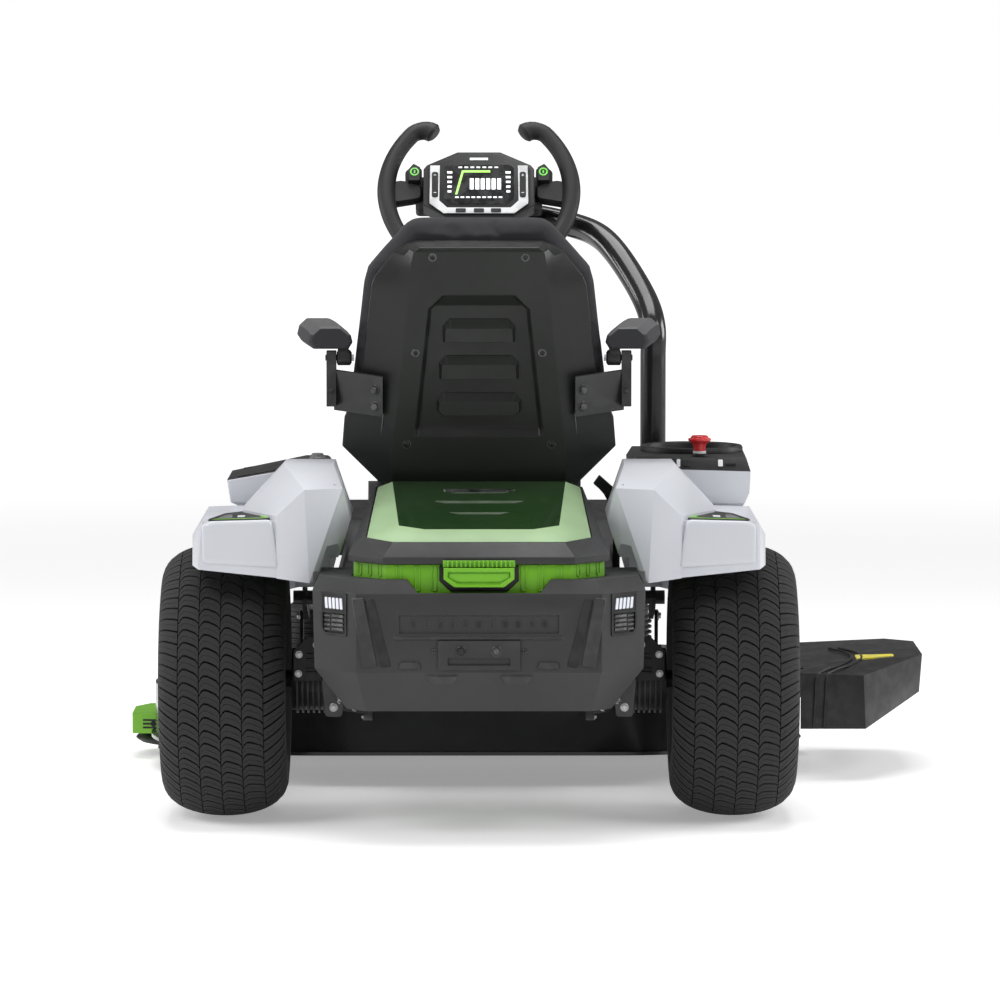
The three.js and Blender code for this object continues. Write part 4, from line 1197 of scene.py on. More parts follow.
    def pedal(self, node: str, body: str, x: float, bars: int) -> None:
        """A pedal's skin and the raised rubber bars on its face.

        Args:
            node: the CAD node.
            body: the body it swings with.
            x: its middle.
            bars: how many rubber bars it has.
        """
        refined(node, BLACK_PLASTIC, 2.0)
        lean = math.radians(self.pedal_lean)
        face = Plane((x, self.pedal_y, self.pedal_z), (1, 0, 0), (0, math.cos(lean), math.sin(lean)))
        skin = Skin()
        skin.slab(face, rounded(rectangle(-42, 42, 20, 112), 10), 4.0, 7.5, 1.0)
        for k in range(bars):
            y = 32 + k * 70 / (bars - 1)
            skin.slab(face, rounded(rectangle(-34, 34, y - 3.2, y + 3.2), 3, 2), 7.0, 10.0, 1.0)
        skin.finish(f"{node}_pad", body, RUBBER, sharp=30.0)

    def make(self) -> None:
        """Everything on the chassis itself."""
        refined("frame", SATIN_BLACK, 2.5)
        refined("front_axle_beam", SATIN_BLACK, 2.5)
        refined("floor_pan", BLACK_PLASTIC, 2.0)
        refined("seat_base", CHARCOAL, 6.0, segments=3)
        for side in Side:
            self.drive_motor(side)
        self.undercarriage()
        self.floor_mat()
        self.pedal("drive_pedal", "drive_treadle", 145.0, 5)
        self.pedal("brake_pedal", "brake_treadle", -165.0, 4)


# ------------------------------------------------------------------------------------------------ bodywork


@dataclass
class Fender:
    """A white wheel fender: its skin, a raised panel, the two-tone insert on top and a headlight."""

    side: Side

    def make(self) -> None:
        """The fender's pieces."""
        label, s = self.side.label, self.side.value
        refined(f"{label}_fender", WHITE_SHELL, 4.0, segments=3)
        self.panel_lines(label, s)
        self.insert(label, s)
        self.headlight(label, s)

    def panel_lines(self, label: str, s: int) -> None:
        """A raised panel with soft edges over most of the wing's tail face, and two small pressed marks on the tower.

        Args:
            label: the side's name.
            s: -1 on the left and 1 on the right.
        """
        skin = Skin()
        across = (128.0, s * 6.0, 0.0) if s > 0 else (128.0, -6.0, 0.0)
        plane = Plane((s * 394, -211.0, 418), across, (0, 7, 92))
        outline = rounded(
            np.array([[-68, 17], [58, 24], [58, 88], [46, 93], [-52, 96], [-58, 90]], float) * [s, 1], 6
        )
        rows = ((0, -5), (0, 0.6), (2.0, 3.4), (5.5, 4.6), (9.0, 5.0))
        skin.rings([plane.at(shrunk(outline, inset), high) for inset, high in rows])
        brow = Plane((s * 252, -212, 564), (1, 0, 0), (0, 132, 30))
        for x, wide in ((-18, 3), (14, 9)):
            mark = rectangle(x, x + wide, 26, 29) * [s, 1]
            skin.rings([brow.at(mark, -1.0), brow.at(mark, 0.4)])
        skin.finish(f"{label}_fender_panel", "chassis", WHITE_SHELL, sharp=60.0)

    def insert(self, label: str, s: int) -> None:
        """A black insert with a lime edge and a small pale mark, let into the wing's top.

        Args:
            label: the side's name.
            s: -1 on the left and 1 on the right.
        """
        top = Plane((s * 394, -110, 510.6), (1, 0, -s * 0.03), (0, 1, 0))
        pieces = (
            ([[-52, -84], [46, -82], [50, -66], [26, 40], [-4, 70], [-34, 70], [-54, 10]], -3.0, 2.6, 1.0, 0, 8),
            ([[-49, -74], [-40, -74], [-26, 20], [-8, 62], [-32, 66], [-49, 8]], -1.0, 3.4, 0.3, 1, 0.1),
            ([[-40, -80], [40, -78], [40, -72], [-40, -73]], -1.0, 3.4, 0.3, 1, 0.1),
            ([[-10, -46], [2, -46], [2, -20], [-10, -20]], -1.0, 3.4, 0.3, 2, 0.1),
            ([[10, -60], [34, -62], [22, 0], [12, 0]], -1.0, 3.4, 0.3, 3, 0.1),
        )
        skin = Skin()
        for outline, low, high, edge, tint, corner in pieces:
            skin.slab(top, rounded(np.array(outline, float) * [s, 1], corner, 2), low, high, edge, tint)
        skin.finish(f"{label}_fender_insert", "chassis", [BLACK_PLASTIC, LIME, PALE_TRIM, DIAL_GREY], sharp=35.0)

    def headlight(self, label: str, s: int) -> None:
        """A lamp in the fender's nose: a dark bezel and three square elements.

        Args:
            label: the side's name.
            s: -1 on the left and 1 on the right.
        """
        nose = Plane((s * 366, 562.2, 366), (-1, 0, 0), (0, 0, 1))
        skin = Skin()
        bezel = rounded(rectangle(-62, 62, -22, 22), 10)
        skin.slab(nose, bezel, -2.0, 5.0, 1.4, 0)
        for k in (-1, 0, 1):
            skin.slab(nose, rounded(rectangle(k * 36 - 14, k * 36 + 14, -13, 13), 4, 2), 4.0, 7.0, 1.0, 1)
        skin.finish(f"{label}_headlight", "chassis", [BLACK_PLASTIC, LAMP_WHITE], sharp=35.0)


@dataclass
class Consoles:
    """The two side consoles with the cup tray, the red knob, the small dial and their trim."""

    cup: tuple[float, float] = (366.0, 300.0)
    knob: tuple[float, float] = (374.0, 158.0)
    dial: tuple[float, float] = (-278.0, 300.0)

    def cup_tray(self) -> None:
        """The round tray with its cup well and a raised lip."""
        x, y = self.cup
        profile = [
            [88, 588.3], [88, 594], [86, 597.5], [82, 598], [79, 596],
            [77, 589], [76, 560], [74, 556.5], [44, 555.5], [41.5, 553],
            [40, 545], [39, 512], [36, 508.6], [6, 508], [6, 504.8],
            [37, 505], [42.6, 510], [43, 552.5], [79.6, 553], [80, 588.3],
        ]
        skin = Skin()
        skin.turn(profile, (x, y, 0), (0, 0, 1), 72)
        skin.finish("cup_tray_skin", "chassis", BLACK_PLASTIC, sharp=32.0)
        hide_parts("cup_holder")

    def stop_knob(self) -> None:
        """The red mushroom knob on its black collar."""
        x, y = self.knob
        skin = Skin()
        base = 588.8
        shape = [
            [0.001, 9], [10, 9], [10.4, 16], [12, 21], [17, 25], [19.2, 27], [19.6, 29], [18.8, 30.6], [15.2, 31.6],
            [14.6, 33.6], [12.6, 35.4], [0.001, 36.2]
        ]
        skin.turn([[r, base + z] for r, z in shape], (x, y, 0), (0, 0, 1), 40, False, 0)
        skin.turn(
            [[0.001, base + 1], [13, base + 1], [13, base + 4], [11, base + 5.4], [0.001, base + 5.4]], (x, y, 0),
            (0, 0, 1), 32, False, 1
        )
        skin.turn(
            [[0.001, base + 5], [11.2, base + 5], [11.2, base + 9.4], [0.001, base + 9.4]], (x, y, 0), (0, 0, 1), 32,
            False, 2
        )
        piece = skin.finish("stop_knob_skin", "knob", [RED, BLACK_PLASTIC, PALE_TRIM], sharp=32.0)
        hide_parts("stop_knob")

    def speed_dial(self) -> None:
        """A low grey dial with eight flats and a pale pointer."""
        x, y = self.dial
        skin = Skin()
        shape = [[0.001, 573.4], [14.5, 573.4], [14.5, 576], [13, 577], [9.6, 583], [8.8, 583.6], [0.001, 583.6]]
        skin.turn(shape, (x, y, 0), (0, 0, 1), 16, False, 0)
        skin.slab(Plane((x, y, 583.6), (1, 0, 0), (0, 1, 0)), rectangle(-1, 1, 1, 7), -0.5, 0.6, 0.0, 1)
        piece = skin.finish("speed_dial_skin", "dial", [DIAL_GREY, PALE_TRIM], bevel=0.6, sharp=25.0)
        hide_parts("speed_dial")

    def trim(self) -> None:
        """Clips, plate and pale label on the right console's dark head, its bolts, and the left console's lid ribs."""
        skin = Skin()
        slope = Plane((350, 123, 580), (1, 0, 0), (0, 10, 19))
        for x0, x1, z0, z1, tint in (
            (-60, -50, -7, 7, 2), (-46, -18, -5, 1, 0), (-16, -10, -7, 7, 2), (-6, 6, -6, 6, 0), (54, 62, -6, 6, 2),
            (66, 84, -3, 0, 0)
        ):
            skin.slab(slope, rounded(rectangle(x0, x1, z0, z1), 1.5, 2), -1.0, 1.0, 0.4, tint)
        top = Plane((374, 158, 588), (1, 0, 0), (0, 1, 0))
        skin.slab(top, rounded(rectangle(-34, 30, -24, 22), 5), -1.0, 0.9, 0.4, 0)
        skin.bolt((344, 440, 505.5), (0, 0, 1), 6.0, 1)
        skin.bolt((268, 440, 505.5), (0, 0, 1), 6.0, 1)
        skin.finish("right_console_trim", "chassis", [BLACK_PLASTIC, BLACK_ZINC, PALE_TRIM], sharp=35.0)
        skin = Skin()
        for y, z in ((150, 562.6), (385, 557.0)):
            skin.slab(
                Plane((-366, y, z), (1, 0, 0.17), (0, 1, 0)), rounded(rectangle(-44, 44, -7, 7), 3, 2), -1.0, 1.4, 0.5
            )
        skin.finish("left_console_ribs", "chassis", BLACK_PLASTIC, sharp=35.0)

    def make(self) -> None:
        """Both consoles."""
        head = refined("right_console", WHITE_SHELL, 2.5)
        retint(head, BLACK_PLASTIC, lambda middle, facing: (middle[:, 2] > 566.5) | (middle[:, 1] > 404))
        tray = refined("left_console", WHITE_SHELL, 3.0)
        retint(tray, BLACK_PLASTIC, lambda middle, facing: facing[:, 2] > 0.5)
        self.cup_tray()
        self.stop_knob()
        self.speed_dial()
        self.trim()


# ------------------------------------------------------------------------------------------------ tail


@dataclass
class Tail:
    """The tail panel, its lights and tow plate, the lime battery bay, the packs and the lid with its window."""

    face_y: float = -366.0
    bay_y: float = -338.0
    handle_y: float = -359.0

    def bumper(self) -> None:
        """The charcoal panel: skin, corner spines, creases, vent frames, lower panel, lip tabs and painted shade."""
        refined("rear_bumper", CHARCOAL, 4.0, segments=3)
        skin = Skin()
        face = Plane((0, self.face_y, 0))
        lip = Plane((0, self.face_y, 281), (1, 0, 0), (0, -32, 66))
        raised = (
            (face, [[205, 402], [186, 404], [162, 290], [188, 287]], 2.6, 3.2, 0),
            # painted shade: this black strip beside the spine stands for the shade in a recess
            (face, [[184, 400], [170, 402], [140, 290], [158, 288]], 2.0, 1.4, 1),
            (face, [[91, 286], [131, 286], [128, 300], [95, 300]], 2.4, 3.2, 0),
            (lip, [[32, -3], [88, -3], [80, -22], [40, -22]], 2.8, 3.4, 0),
        )
        for s in (-1, 1):
            for plane, outline, inset, high, tint in raised:
                shape = rounded(np.array(outline, float) * [s, 1], 3, 2)
                skin.rings([plane.at(shape, -1.5), plane.at(shrunk(shape, inset), high)], tint)
        skin.rings(
            [
                face.at(rounded(rectangle(-140, 140, 334, 341), 2, 2), -1.5),
                face.at(rounded(rectangle(-134, 134, 335.5, 339), 2, 2), 2.2)
            ]
        )
        six = np.arange(6) * math.pi / 3
        for x in (np.arange(11) - 5) * 21.0:
            cell = [
                np.stack([x + wide * np.sin(six), 359 + tall * np.cos(six)], -1) for wide,
                tall in ((5.8, 7.4), (4.2, 6.0))
            ]
            skin.grid(
                np.stack([face.at(cell[k], h) for k, h in ((0, -3.4), (0, -2.0), (1, -2.0), (1, -3.4))]), wrap=True,
                loop=True
            )
            # painted shade: a black cell in each vent hole stands for the shade inside it
            skin.rings([face.at(cell[1], -2.9), face.at(cell[1], -2.3)], 1)
        # painted shade: a black sheet behind the vent holes, where there is only shade
        skin.slab(Plane((0, -355.5, 0)), rectangle(-122, 122, 348, 370), -0.5, 0.5, 0.0, 1)
        skin.finish("tail_panel_pressings", "chassis", [CHARCOAL, BLACK_PLASTIC], sharp=40.0)

    def tow_plate(self) -> None:
        """The tow plate's skin and its bolts."""
        refined("hitch_plate", CHARCOAL, 0.8)
        skin = Skin()
        for x in (-29, 28):
            skin.bolt((x, -369.8, 316), (0, -1, 0), 6.0)
        for x in (-73, 73):
            skin.screw((x, -366, 316), (0, -1, 0), 4.2)
        skin.finish("tow_plate_bolts", "chassis", BLACK_ZINC, sharp=30.0)

    def light(self, side: Side) -> None:
        """A tail light: a dark frame, five bright elements and a slatted vent under them.

        Args:
            side: which side it is on.
        """
        s = side.value
        refined(f"{side.label}_tail_light", BLACK_PLASTIC, 0.6)
        across = (72.0, s * 70.0, 0.0) if s > 0 else (72.0, -70.0, 0.0)
        plane = Plane((s * 233, -331, 372), across, (0, 0, 1))
        skin = Skin()
        frame_out = rounded(np.array([[-29, -34], [22, -34], [29, -26], [29, 36], [-29, 36]], float) * [s, 1], 3, 2)
        frame_in = rounded(np.array([[-25, -30], [20, -30], [25, -24], [25, 32], [-25, 32]], float) * [s, 1], 3, 2)
        skin.grid(
            np.stack(
                [plane.at(frame_out, -2), plane.at(frame_out, 1.8), plane.at(frame_in, 1.8), plane.at(frame_in, -4)]
            ),
            wrap=True, loop=True, tint=0
        )
        for k in range(5):
            x = s * (-17 + k * 8.4)
            skin.slab(
                plane,
                rounded(
                    np.array([[x - 3.0 - s, 9], [x + 2.6 - s, 9], [x + 3.0 + s, 27], [x - 2.6 + s, 27]], float), 1.2,
                    2
                ),
                0.6, 2.4, 0.6, 1
            )
        for k in range(4):
            z = -26 + k * 7.2
            skin.slab(plane, rectangle(*sorted((s * -21, s * 5)), z, z + 4.6), -1.0, 1.5, 0.3, 2)
            skin.slab(plane, rounded(rectangle(*sorted((s * 8, s * 21)), z, z + 3.2), 1, 2), -1.0, 1.9, 0.4, 2)
        skin.slab(plane, rectangle(-25, 25, 2.0, 6.0), -1.0, 2.0, 0.6, 0)
        skin.finish(
            f"{side.label}_tail_light_details", "chassis", [BLACK_PLASTIC, LAMP_WHITE, SCREEN_BLACK], sharp=35.0
        )

    def bay(self) -> None:
        """The lime bay's skin and the U-shaped ribs on its tail wall, each a half-round bar bent into a U."""
        refined("battery_bay", LIME, 1.5)
        skin = Skin()
        wall = Plane((0, self.bay_y, 0))
        for x in (-129, -99, -72, 72, 99, 129):
            low = 422 if abs(x) > 110 else 414
            turn = np.linspace(0, -math.pi, 9)
            u = np.vstack(
                [[[x + 3.6, 451]], np.stack([x + 3.6 * np.cos(turn), low + 3.6 * np.sin(turn)], -1), [[x - 3.6, 451]]]
            )
            skin.tube(wall.at(u, 0.2), 1.5, 8)
        corner_a, corner_b = np.array([149.2, -338.0]), np.array([203.0, -285.2])
        for s in (-1, 1):
            for share in (0.2, 0.5, 0.8):
                spot = corner_a + share * (corner_b - corner_a)
                turn = np.linspace(0, -math.pi, 9)
                side = Plane((s * spot[0], spot[1], 0), (53.8, s * 52.8, 0))
                u = np.vstack(
                    [[[3.4, 451]], np.stack([3.4 * np.cos(turn), 436 + 3.4 * np.sin(turn)], -1), [[-3.4, 451]]]
                )
                skin.tube(side.at(u, 0.2), 1.4, 8)
        skin.finish("battery_bay_ribs", "chassis", LIME, sharp=40.0)

    def handle(self) -> None:
        """The lid's pull: a lime frame round a recessed grip, on a dark pocket, with a comb of ribs above it."""
        refined("lid_handle", LIME, 1.4)
        skin = Skin()
        face = Plane((0, self.handle_y, 449))
        outline = mirrored([[40, -31], [57, -18], [57, 0]])
        skin.slab(face, shrunk(outline, 8.0), -8.0, -4.5, 1.0, 0)
        skin.finish("lid_handle_grip", "lid_latch", [LIME], sharp=35.0)
        comb = Skin()
        for x in np.linspace(-50, 50, 15):
            comb.slab(face, rounded(rectangle(x - 1.5, x + 1.5, 1.2, 10.8), 1.2, 2), -9.0, -3.2, 0.8, 0)
        comb.slab(face, rectangle(-58, 58, 0.8, 11.5), -11.2, -8.6, 0.4, 0)
        comb.finish("lid_handle_comb", "lid", LIME, sharp=35.0)
        pocket = Skin()
        dark = Plane((0, self.bay_y, 449))
        frame_out = mirrored([[46, -39], [64, -22], [64, 2]])
        pocket.slab(dark, frame_out, -0.6, 5.5, 1.5, 0)
        pocket.finish("handle_pocket", "chassis", BLACK_PLASTIC, sharp=35.0)

    def packs(self) -> None:
        """The battery packs' skins with end caps, grips and charge lights."""
        skin = Skin()
        for k, x in enumerate((-112, 0, 112)):
            refined(f"battery_{k + 1}", CHARCOAL, 5.0, segments=3)
            front = -306 if k == 1 else -272
            top = Plane((x, (front - 66) / 2, 440), (1, 0, 0), (0, 1, 0))
            length = (-66 - front) / 2
            skin.slab(top, rounded(rectangle(-30, 30, -length + 26, length - 26), 10), -1.0, 6.0, 1.5, 1)
            skin.slab(top, rounded(rectangle(-18, 18, -length + 46, -length + 66), 6), 5.5, 9.0, 1.5, 0)
            for n in range(5):
                skin.slab(top, rectangle(-14 + n * 6, -10 + n * 6, length - 44, length - 38), 5.5, 7.0, 0.4, 1)
        skin.finish("battery_pack_grips", "chassis", [BLACK_PLASTIC, LIME], sharp=35.0)

    def lid(self) -> None:
        """The lid's skin, its parting lines, and the tinted window with a dark tray and bars seen through it."""
        refined("battery_lid", CHARCOAL, 2.5)
        window = refined("lid_window", CLEAR_GREEN, 2.0)
        retint(window, FROST_GREEN, lambda middle, facing: (facing[:, 2] < 0.955) & (facing[:, 2] > 0.05))
        retint(window, SMOKED_GREEN, lambda middle, facing: facing[:, 2] >= 0.955)
        skin = Skin()
        slope = (0.0, 218.0, 54.0)
        for y, half, deep, tint in ((-262, 100, 9, 1), (-206, 50, 5, 0), (-150, 74, 5, 0), (-92, 60, 6, 1)):
            plane = Plane((0, y, 509 + (y + 262) * 0.2477 + 0.4), (1, 0, 0), slope)
            skin.slab(plane, rounded(mirrored([[half - 16, -deep], [half, deep]]), 3, 2), -1.0, 1.0, 0.4, tint)
        skin.finish("lid_top_marks", "lid", [MARK_GREY, SCREEN_BLACK], sharp=35.0)
        tray = Skin()
        floor = Plane((0, -170, 470), (1, 0, 0), (0, 280, 62))
        tray.slab(floor, rounded(mirrored([[112, -128], [166, -96], [140, 128]]), 10), -2.0, 2.0, 1.0)
        tray.finish("lid_inner_tray", "lid", BLACK_PLASTIC, sharp=35.0)

    def make(self) -> None:
        """Everything at the tail."""
        self.bumper()
        self.tow_plate()
        for side in Side:
            self.light(side)
        self.bay()
        self.handle()
        self.packs()
        self.lid()


# ------------------------------------------------------------------------------------------------ deck


@dataclass
class Deck:
    """The cutting deck: shell, spindle motors, blades, discs, the lime corner guard and the folding discharge flap."""

    centre_x: float = -20.0
    y: float = 640.0
    spacing: float = 534.0
    top: float = 187.0

    def motors(self) -> None:
        """Each spindle motor: a flanged can with cooling fins, a cap, flange bolts and a short cable."""
        for side in Side:
            x = self.centre_x + side.value * self.spacing / 2
            skin = Skin()
            fins = []
            for k in range(7):
                z = 206 + k * 9.5
                fins += [[56, z], [62, z + 1], [62, z + 4], [56, z + 5]]
            profile = [
                [0.001, 187.3], [75, 187.3], [75, 194], [72, 196.5], [58, 197], *fins, [56, 276], [60, 278],
                [60, 283], [48, 288], [44, 292], [0.001, 292]
            ]
            skin.turn(profile, (x, self.y, 0), (0, 0, 1), 56, False)
            for k in range(6):
                a = 2 * math.pi * k / 6
                skin.bolt((x + 67 * math.cos(a), self.y + 67 * math.sin(a), 196), (0, 0, 1), 4.6, 1)
            skin.tube(
                smooth_path(
                    [[x, self.y - 50, 262], [x, self.y - 61, 264], [x, self.y - 64, 276], [x, self.y - 52, 286]], 18
                ),
                4.0, 12
            )
            piece = skin.finish(f"{side.label}_blade_motor_skin", "deck", [BLACK_PLASTIC, ZINC], sharp=32.0)
            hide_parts(f"{side.label}_blade_motor")
            refined(f"{side.label}_blade", GROUND_STEEL, 0.6)

    def discs(self) -> None:
        """The lens-shaped anti-scalp discs, turned smooth."""
        for side, x in ((Side.LEFT, -568.0), (Side.RIGHT, 530.0)):
            profile = [
                [9.6, 18.9], [28, 18.9], [44, 23], [53, 28.5], [55, 31.4], [53, 34.5], [44, 40], [28, 43.9],
                [9.6, 43.9]
            ]
            skin = Skin()
            skin.turn(profile, (x, 770, 0), (0, 0, 1), 56)
            piece = skin.finish(f"{side.label}_gauge_disc_skin", f"{side.label}_disc", BLACK_PLASTIC, sharp=40.0)
            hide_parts(f"{side.label}_gauge_disc")

    def shell_details(self) -> None:
        """Stiffening beads and a wash-out port on top of the shell, and the links' bolts."""
        skin = Skin()
        lid = Plane((0, 0, self.top), (1, 0, 0), (0, 1, 0))
        for s in (-1, 1):
            ends = sorted((self.centre_x + s * 96, self.centre_x + s * 170))
            for low in (470, 800):
                bar = rounded(rectangle(*ends, low, low + 20), 8)
                skin.rings([lid.at(bar, -2), lid.at(shrunk(bar, 3), 4)])
            for z in (292, 190):
                skin.bolt((s * 312, 395, z), (s, 0, 0), 6.0, 1)
        skin.turn(
            [[0.001, 186], [20, 186], [20, 196], [15, 199], [0.001, 199]], (self.centre_x, 560, 0), (0, 0, 1), 32,
            False, 2
        )
        skin.finish("deck_shell_beads", "deck", [GLOSS_BLACK, ZINC, BLACK_PLASTIC], sharp=35.0)

    def guard(self) -> None:
        """The lime corner guard with three slots of painted shade, drawn as black slabs, and a stud in its tail face.
        """
        refined("deck_bumper", LIME, 2.0)
        a, b = np.array([-625.0, 700.0, 0]), np.array([-500.0, 690.0, 0])
        face = Plane((-612, 698.9, 65), tuple(b - a))
        skin = Skin()
        # painted shade: flat black slabs stand for the shade inside the three slots
        for z in (-10, -3.2, 3.6):
            skin.slab(face, rectangle(6, 44, z, z + 3.4), -1.0, 0.5, 0.0, 0)
        skin.turn([[0.001, 0], [5.5, 0], [5.5, 2], [0.001, 2.4]], (-587, 696.6, 64), (0, -1, 0), 8, False)
        skin.finish("deck_guard_slots", "deck", [BLACK_PLASTIC], sharp=35.0)

    def flap(self) -> None:
        """The discharge flap: its skin, curved double ribs over the top and down the tail skirt, and a blank label."""
        refined("discharge_chute", BLACK_PLASTIC, 4.0, segments=3)
        skin = Skin()
        for x in (590.0, 608.0):
            path = [
                [x - 6, 397.6, 96], [x - 3, 397.2, 150], [x, 398.5, 184], [x + 14, 412, 193.5], [x + 44, 460, 197.0],
                [x + 70, 540, 200.5], [x + 64, 620, 201.5], [x + 40, 700, 199.5]
            ]
            skin.tube(smooth_path(path, 48), 2.2, 8)
        plane = Plane((676, 590, 202.2), (1, 0, 0.02), (0, 1, 0.05))
        skin.slab(plane, np.array([[-8, -62], [60, -40], [60, -18], [-8, -18]], float), -1.0, 1.6, 0.0, 1)
        skin.finish("discharge_flap_ribs", "chute", [BLACK_PLASTIC, YELLOW], sharp=35.0)

    def make(self) -> None:
        """The whole deck."""
        refined("deck_shell", GLOSS_BLACK, 2.5)
        refined("lift_shaft", SATIN_BLACK, 1.5)
        refined("lift_lever", BLACK_PLASTIC, 1.2)
        self.motors()
        self.discs()
        self.shell_details()
        self.guard()
        self.flap()


# ------------------------------------------------------------------------------------------------ seat


@dataclass
class Seat:
    """The seat: moulded back shell, vinyl cushions, armrests on bolted brackets, and the seat frame."""

    back_origin: tuple[float, float, float] = (0.0, 70.0, 548.0)
    lean: float = 15.0
    swell: float = 22.0
    depth: float = 10.0
    rim_height: float = 12.0
    voxel: float = 6.0
    pressure: float = 4.0
    steps: int = 20
    seam: float = 5.0

    @property
    def back(self) -> Plane:
        """The plane of the seat back, facing the tail."""
        a = math.radians(self.lean)
        return Plane(self.back_origin, (1, 0, 0), (0, -math.sin(a), math.cos(a)))

    def shell(self) -> None:
        """The moulded back shell with its sunk panel, three louvres, grooves and six screws.

        The shell is a stack of closed sections, one for each level up the back. A section's outer side is level across
        the middle and falls in a straight line to the rim. The panel is sunk by depth times the least of three ramps:
        20 mm long at its top, 12 mm at its bottom and 6 mm at its sides.
        """
        levels = np.array(
            [-4, 5, 14, 60, 73, 90, 103, 115, 122, 150, 195, 240, 290, 323, 328, 349, 356, 371, 392, 412, 424, 430.0]
        )
        rim = np.interp(
            levels, [-4, 5, 73, 122, 195, 356, 371, 412, 424, 430], [146, 164, 229, 225, 196, 178, 172, 141, 120, 104]
        )
        crown = np.interp(levels, [-4, 14, 60, 427, 430], [128, 143, 147, 107, 98])
        high = np.interp(levels, [-4, 14, 60, 424, 430], [12.5, 44, 48, 46.5, 43])
        panel = np.interp(levels, [-4, 103, 323, 349, 430], [108, 107.6, 84.7, 61, 55])
        sunk = high - self.depth * np.clip(np.minimum((349 - levels) / 20, (levels - 103) / 12), 0, 1)
        low = np.full_like(high, self.rim_height)
        across = np.stack(
            [0 * panel, panel * 0.5, panel - 7, panel, (panel + crown) / 2, crown, (crown + rim) / 2, rim, rim], -1
        )
        height = np.stack([sunk, sunk, sunk, high, high, high, (high + low) / 2, low, low * 0 + 0.4], -1)
        x = np.hstack([-across[:, :0:-1], across])
        h = np.hstack([height[:, :0:-1], height])
        skin = Skin()
        skin.grid(self.back.at(np.stack([x, np.repeat(levels[:, None], x.shape[1], 1)], -1), h), wrap=True, caps=True)
        piece = skin.finish("back_shell_skin", "seat", DARK_SHELL, bevel=3.0, segments=3)
        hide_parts("back_shell")
        self.shell_details()

    def shell_details(self) -> None:
        """The louvres that stand in the sunk panel, the grooves below the brackets, and the screws."""
        skin = Skin()
        for half, low, high, cut in ((60, 265, 305, 1), (66, 200.5, 241.5, 1), (70.5, 136.5, 177, 9)):
            foot = mirrored([[half - cut, low], [half, low + cut], [half, high - 13], [half - 11, high]])
            crest = mirrored(
                [[half - cut - 3, low + 3], [half - 4, low + cut + 2], [half - 5, high - 14], [half - 14, high - 13]]
            )
            skin.rings([self.back.at(foot, 34), self.back.at(foot, 38.4), self.back.at(crest, 50.5)])
        for s in (-1, 1):
            groove = np.array([[158, 142], [164, 88], [163, 70], [150, 55], [136, 46]], float) * [s, 1]
            skin.tube(self.back.at(groove, [38.5, 36.5, 36.5, 42.0, 44.0]), 2.2, 10, tint=2)
            for x, w, h in ((76.5, 413.8, 46.2), (105, 248.5, 46.9), (120.5, 88.4, 47.6)):
                spot = self.back.at([[s * x, w]], h)[0]
                skin.turn(
                    [[0.001, -2], [7.2, -2], [7.2, 0.3], [6.4, 0.9], [0.001, 0.9]], spot, self.back.out, 20, False, 2
                )
                skin.screw(spot, self.back.out, 4.6, 1)
        skin.finish("back_shell_screws", "seat", [DARK_SHELL, BLACK_ZINC, SCREEN_BLACK], bevel=0.8, sharp=30.0)

    def padded_copy(self, node: str, name: str, caps: Points, shape: Callable[[Points], Points]) -> bpy.types.Object:
        """A stuffed copy of a CAD cushion: remeshed, blown up as cloth, held to caps, then sewn.

        Args:
            node: the CAD solid.
            name: the new piece's name.
            caps: how far a point may move along X, along the cushion's thickness and along its length, in metres.
            shape: moves the finished points to sew in seams and channels.

        Returns:
            The cushion, standing for the node.
        """
        mesh = frame["nodes"][node].data.copy()
        mesh.materials.clear()
        tidy(mesh, 1e-5, 1.0)
        piece = bpy.data.objects.new(name, mesh)
        bpy.context.scene.collection.objects.link(piece)
        soft = piece.modifiers.new("first_rounding", "BEVEL")
        soft.width, soft.segments = 0.012, 3
        grid = piece.modifiers.new("even_mesh", "REMESH")
        grid.mode, grid.voxel_size = "VOXEL", self.voxel * MM
        self._apply(piece)
        rest = self._points(piece)
        cloth = piece.modifiers.new("stuffing", "CLOTH")
        cloth.settings.use_pressure = True
        cloth.settings.uniform_pressure_force = self.pressure
        cloth.settings.effector_weights.gravity = 0.0
        cloth.settings.quality = 5
        for step in range(1, self.steps + 1):
            bpy.context.scene.frame_set(step)
        self._apply(piece)
        bpy.context.scene.frame_set(1)
        moved = np.clip(self._points(piece) - rest, -caps, caps)
        points = shape(rest + moved)
        piece.data.vertices.foreach_set("co", points.astype(np.float32).ravel())
        finer = piece.modifiers.new("fine", "SUBSURF")
        finer.levels = finer.render_levels = 1
        self._apply(piece)
        piece.data.materials.append(VINYL.material())
        piece.data.polygons.foreach_set("use_smooth", np.ones(len(piece.data.polygons), bool))
        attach(piece, BODY_OF[node])
        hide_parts(node)
        LOG.info("cushion %s: %d faces", name, len(piece.data.polygons))
        return piece

    def _apply(self, piece: bpy.types.Object) -> None:
        """Turns a piece's evaluated mesh into its own mesh and clears its modifiers.

        Args:
            piece: the piece, changed in place.
        """
        bpy.context.view_layer.update()
        graph = bpy.context.evaluated_depsgraph_get()
        made = bpy.data.meshes.new_from_object(piece.evaluated_get(graph))
        piece.modifiers.clear()
        piece.data = made

    def _points(self, piece: bpy.types.Object) -> Points:
        """A piece's points as an (n, 3) array in row-frame metres.

        Args:
            piece: the piece.

        Returns:
            (n, 3) points.
        """
        found = np.zeros(len(piece.data.vertices) * 3, np.float32)
        piece.data.vertices.foreach_get("co", found)
        return found.reshape(-1, 3).astype(float)

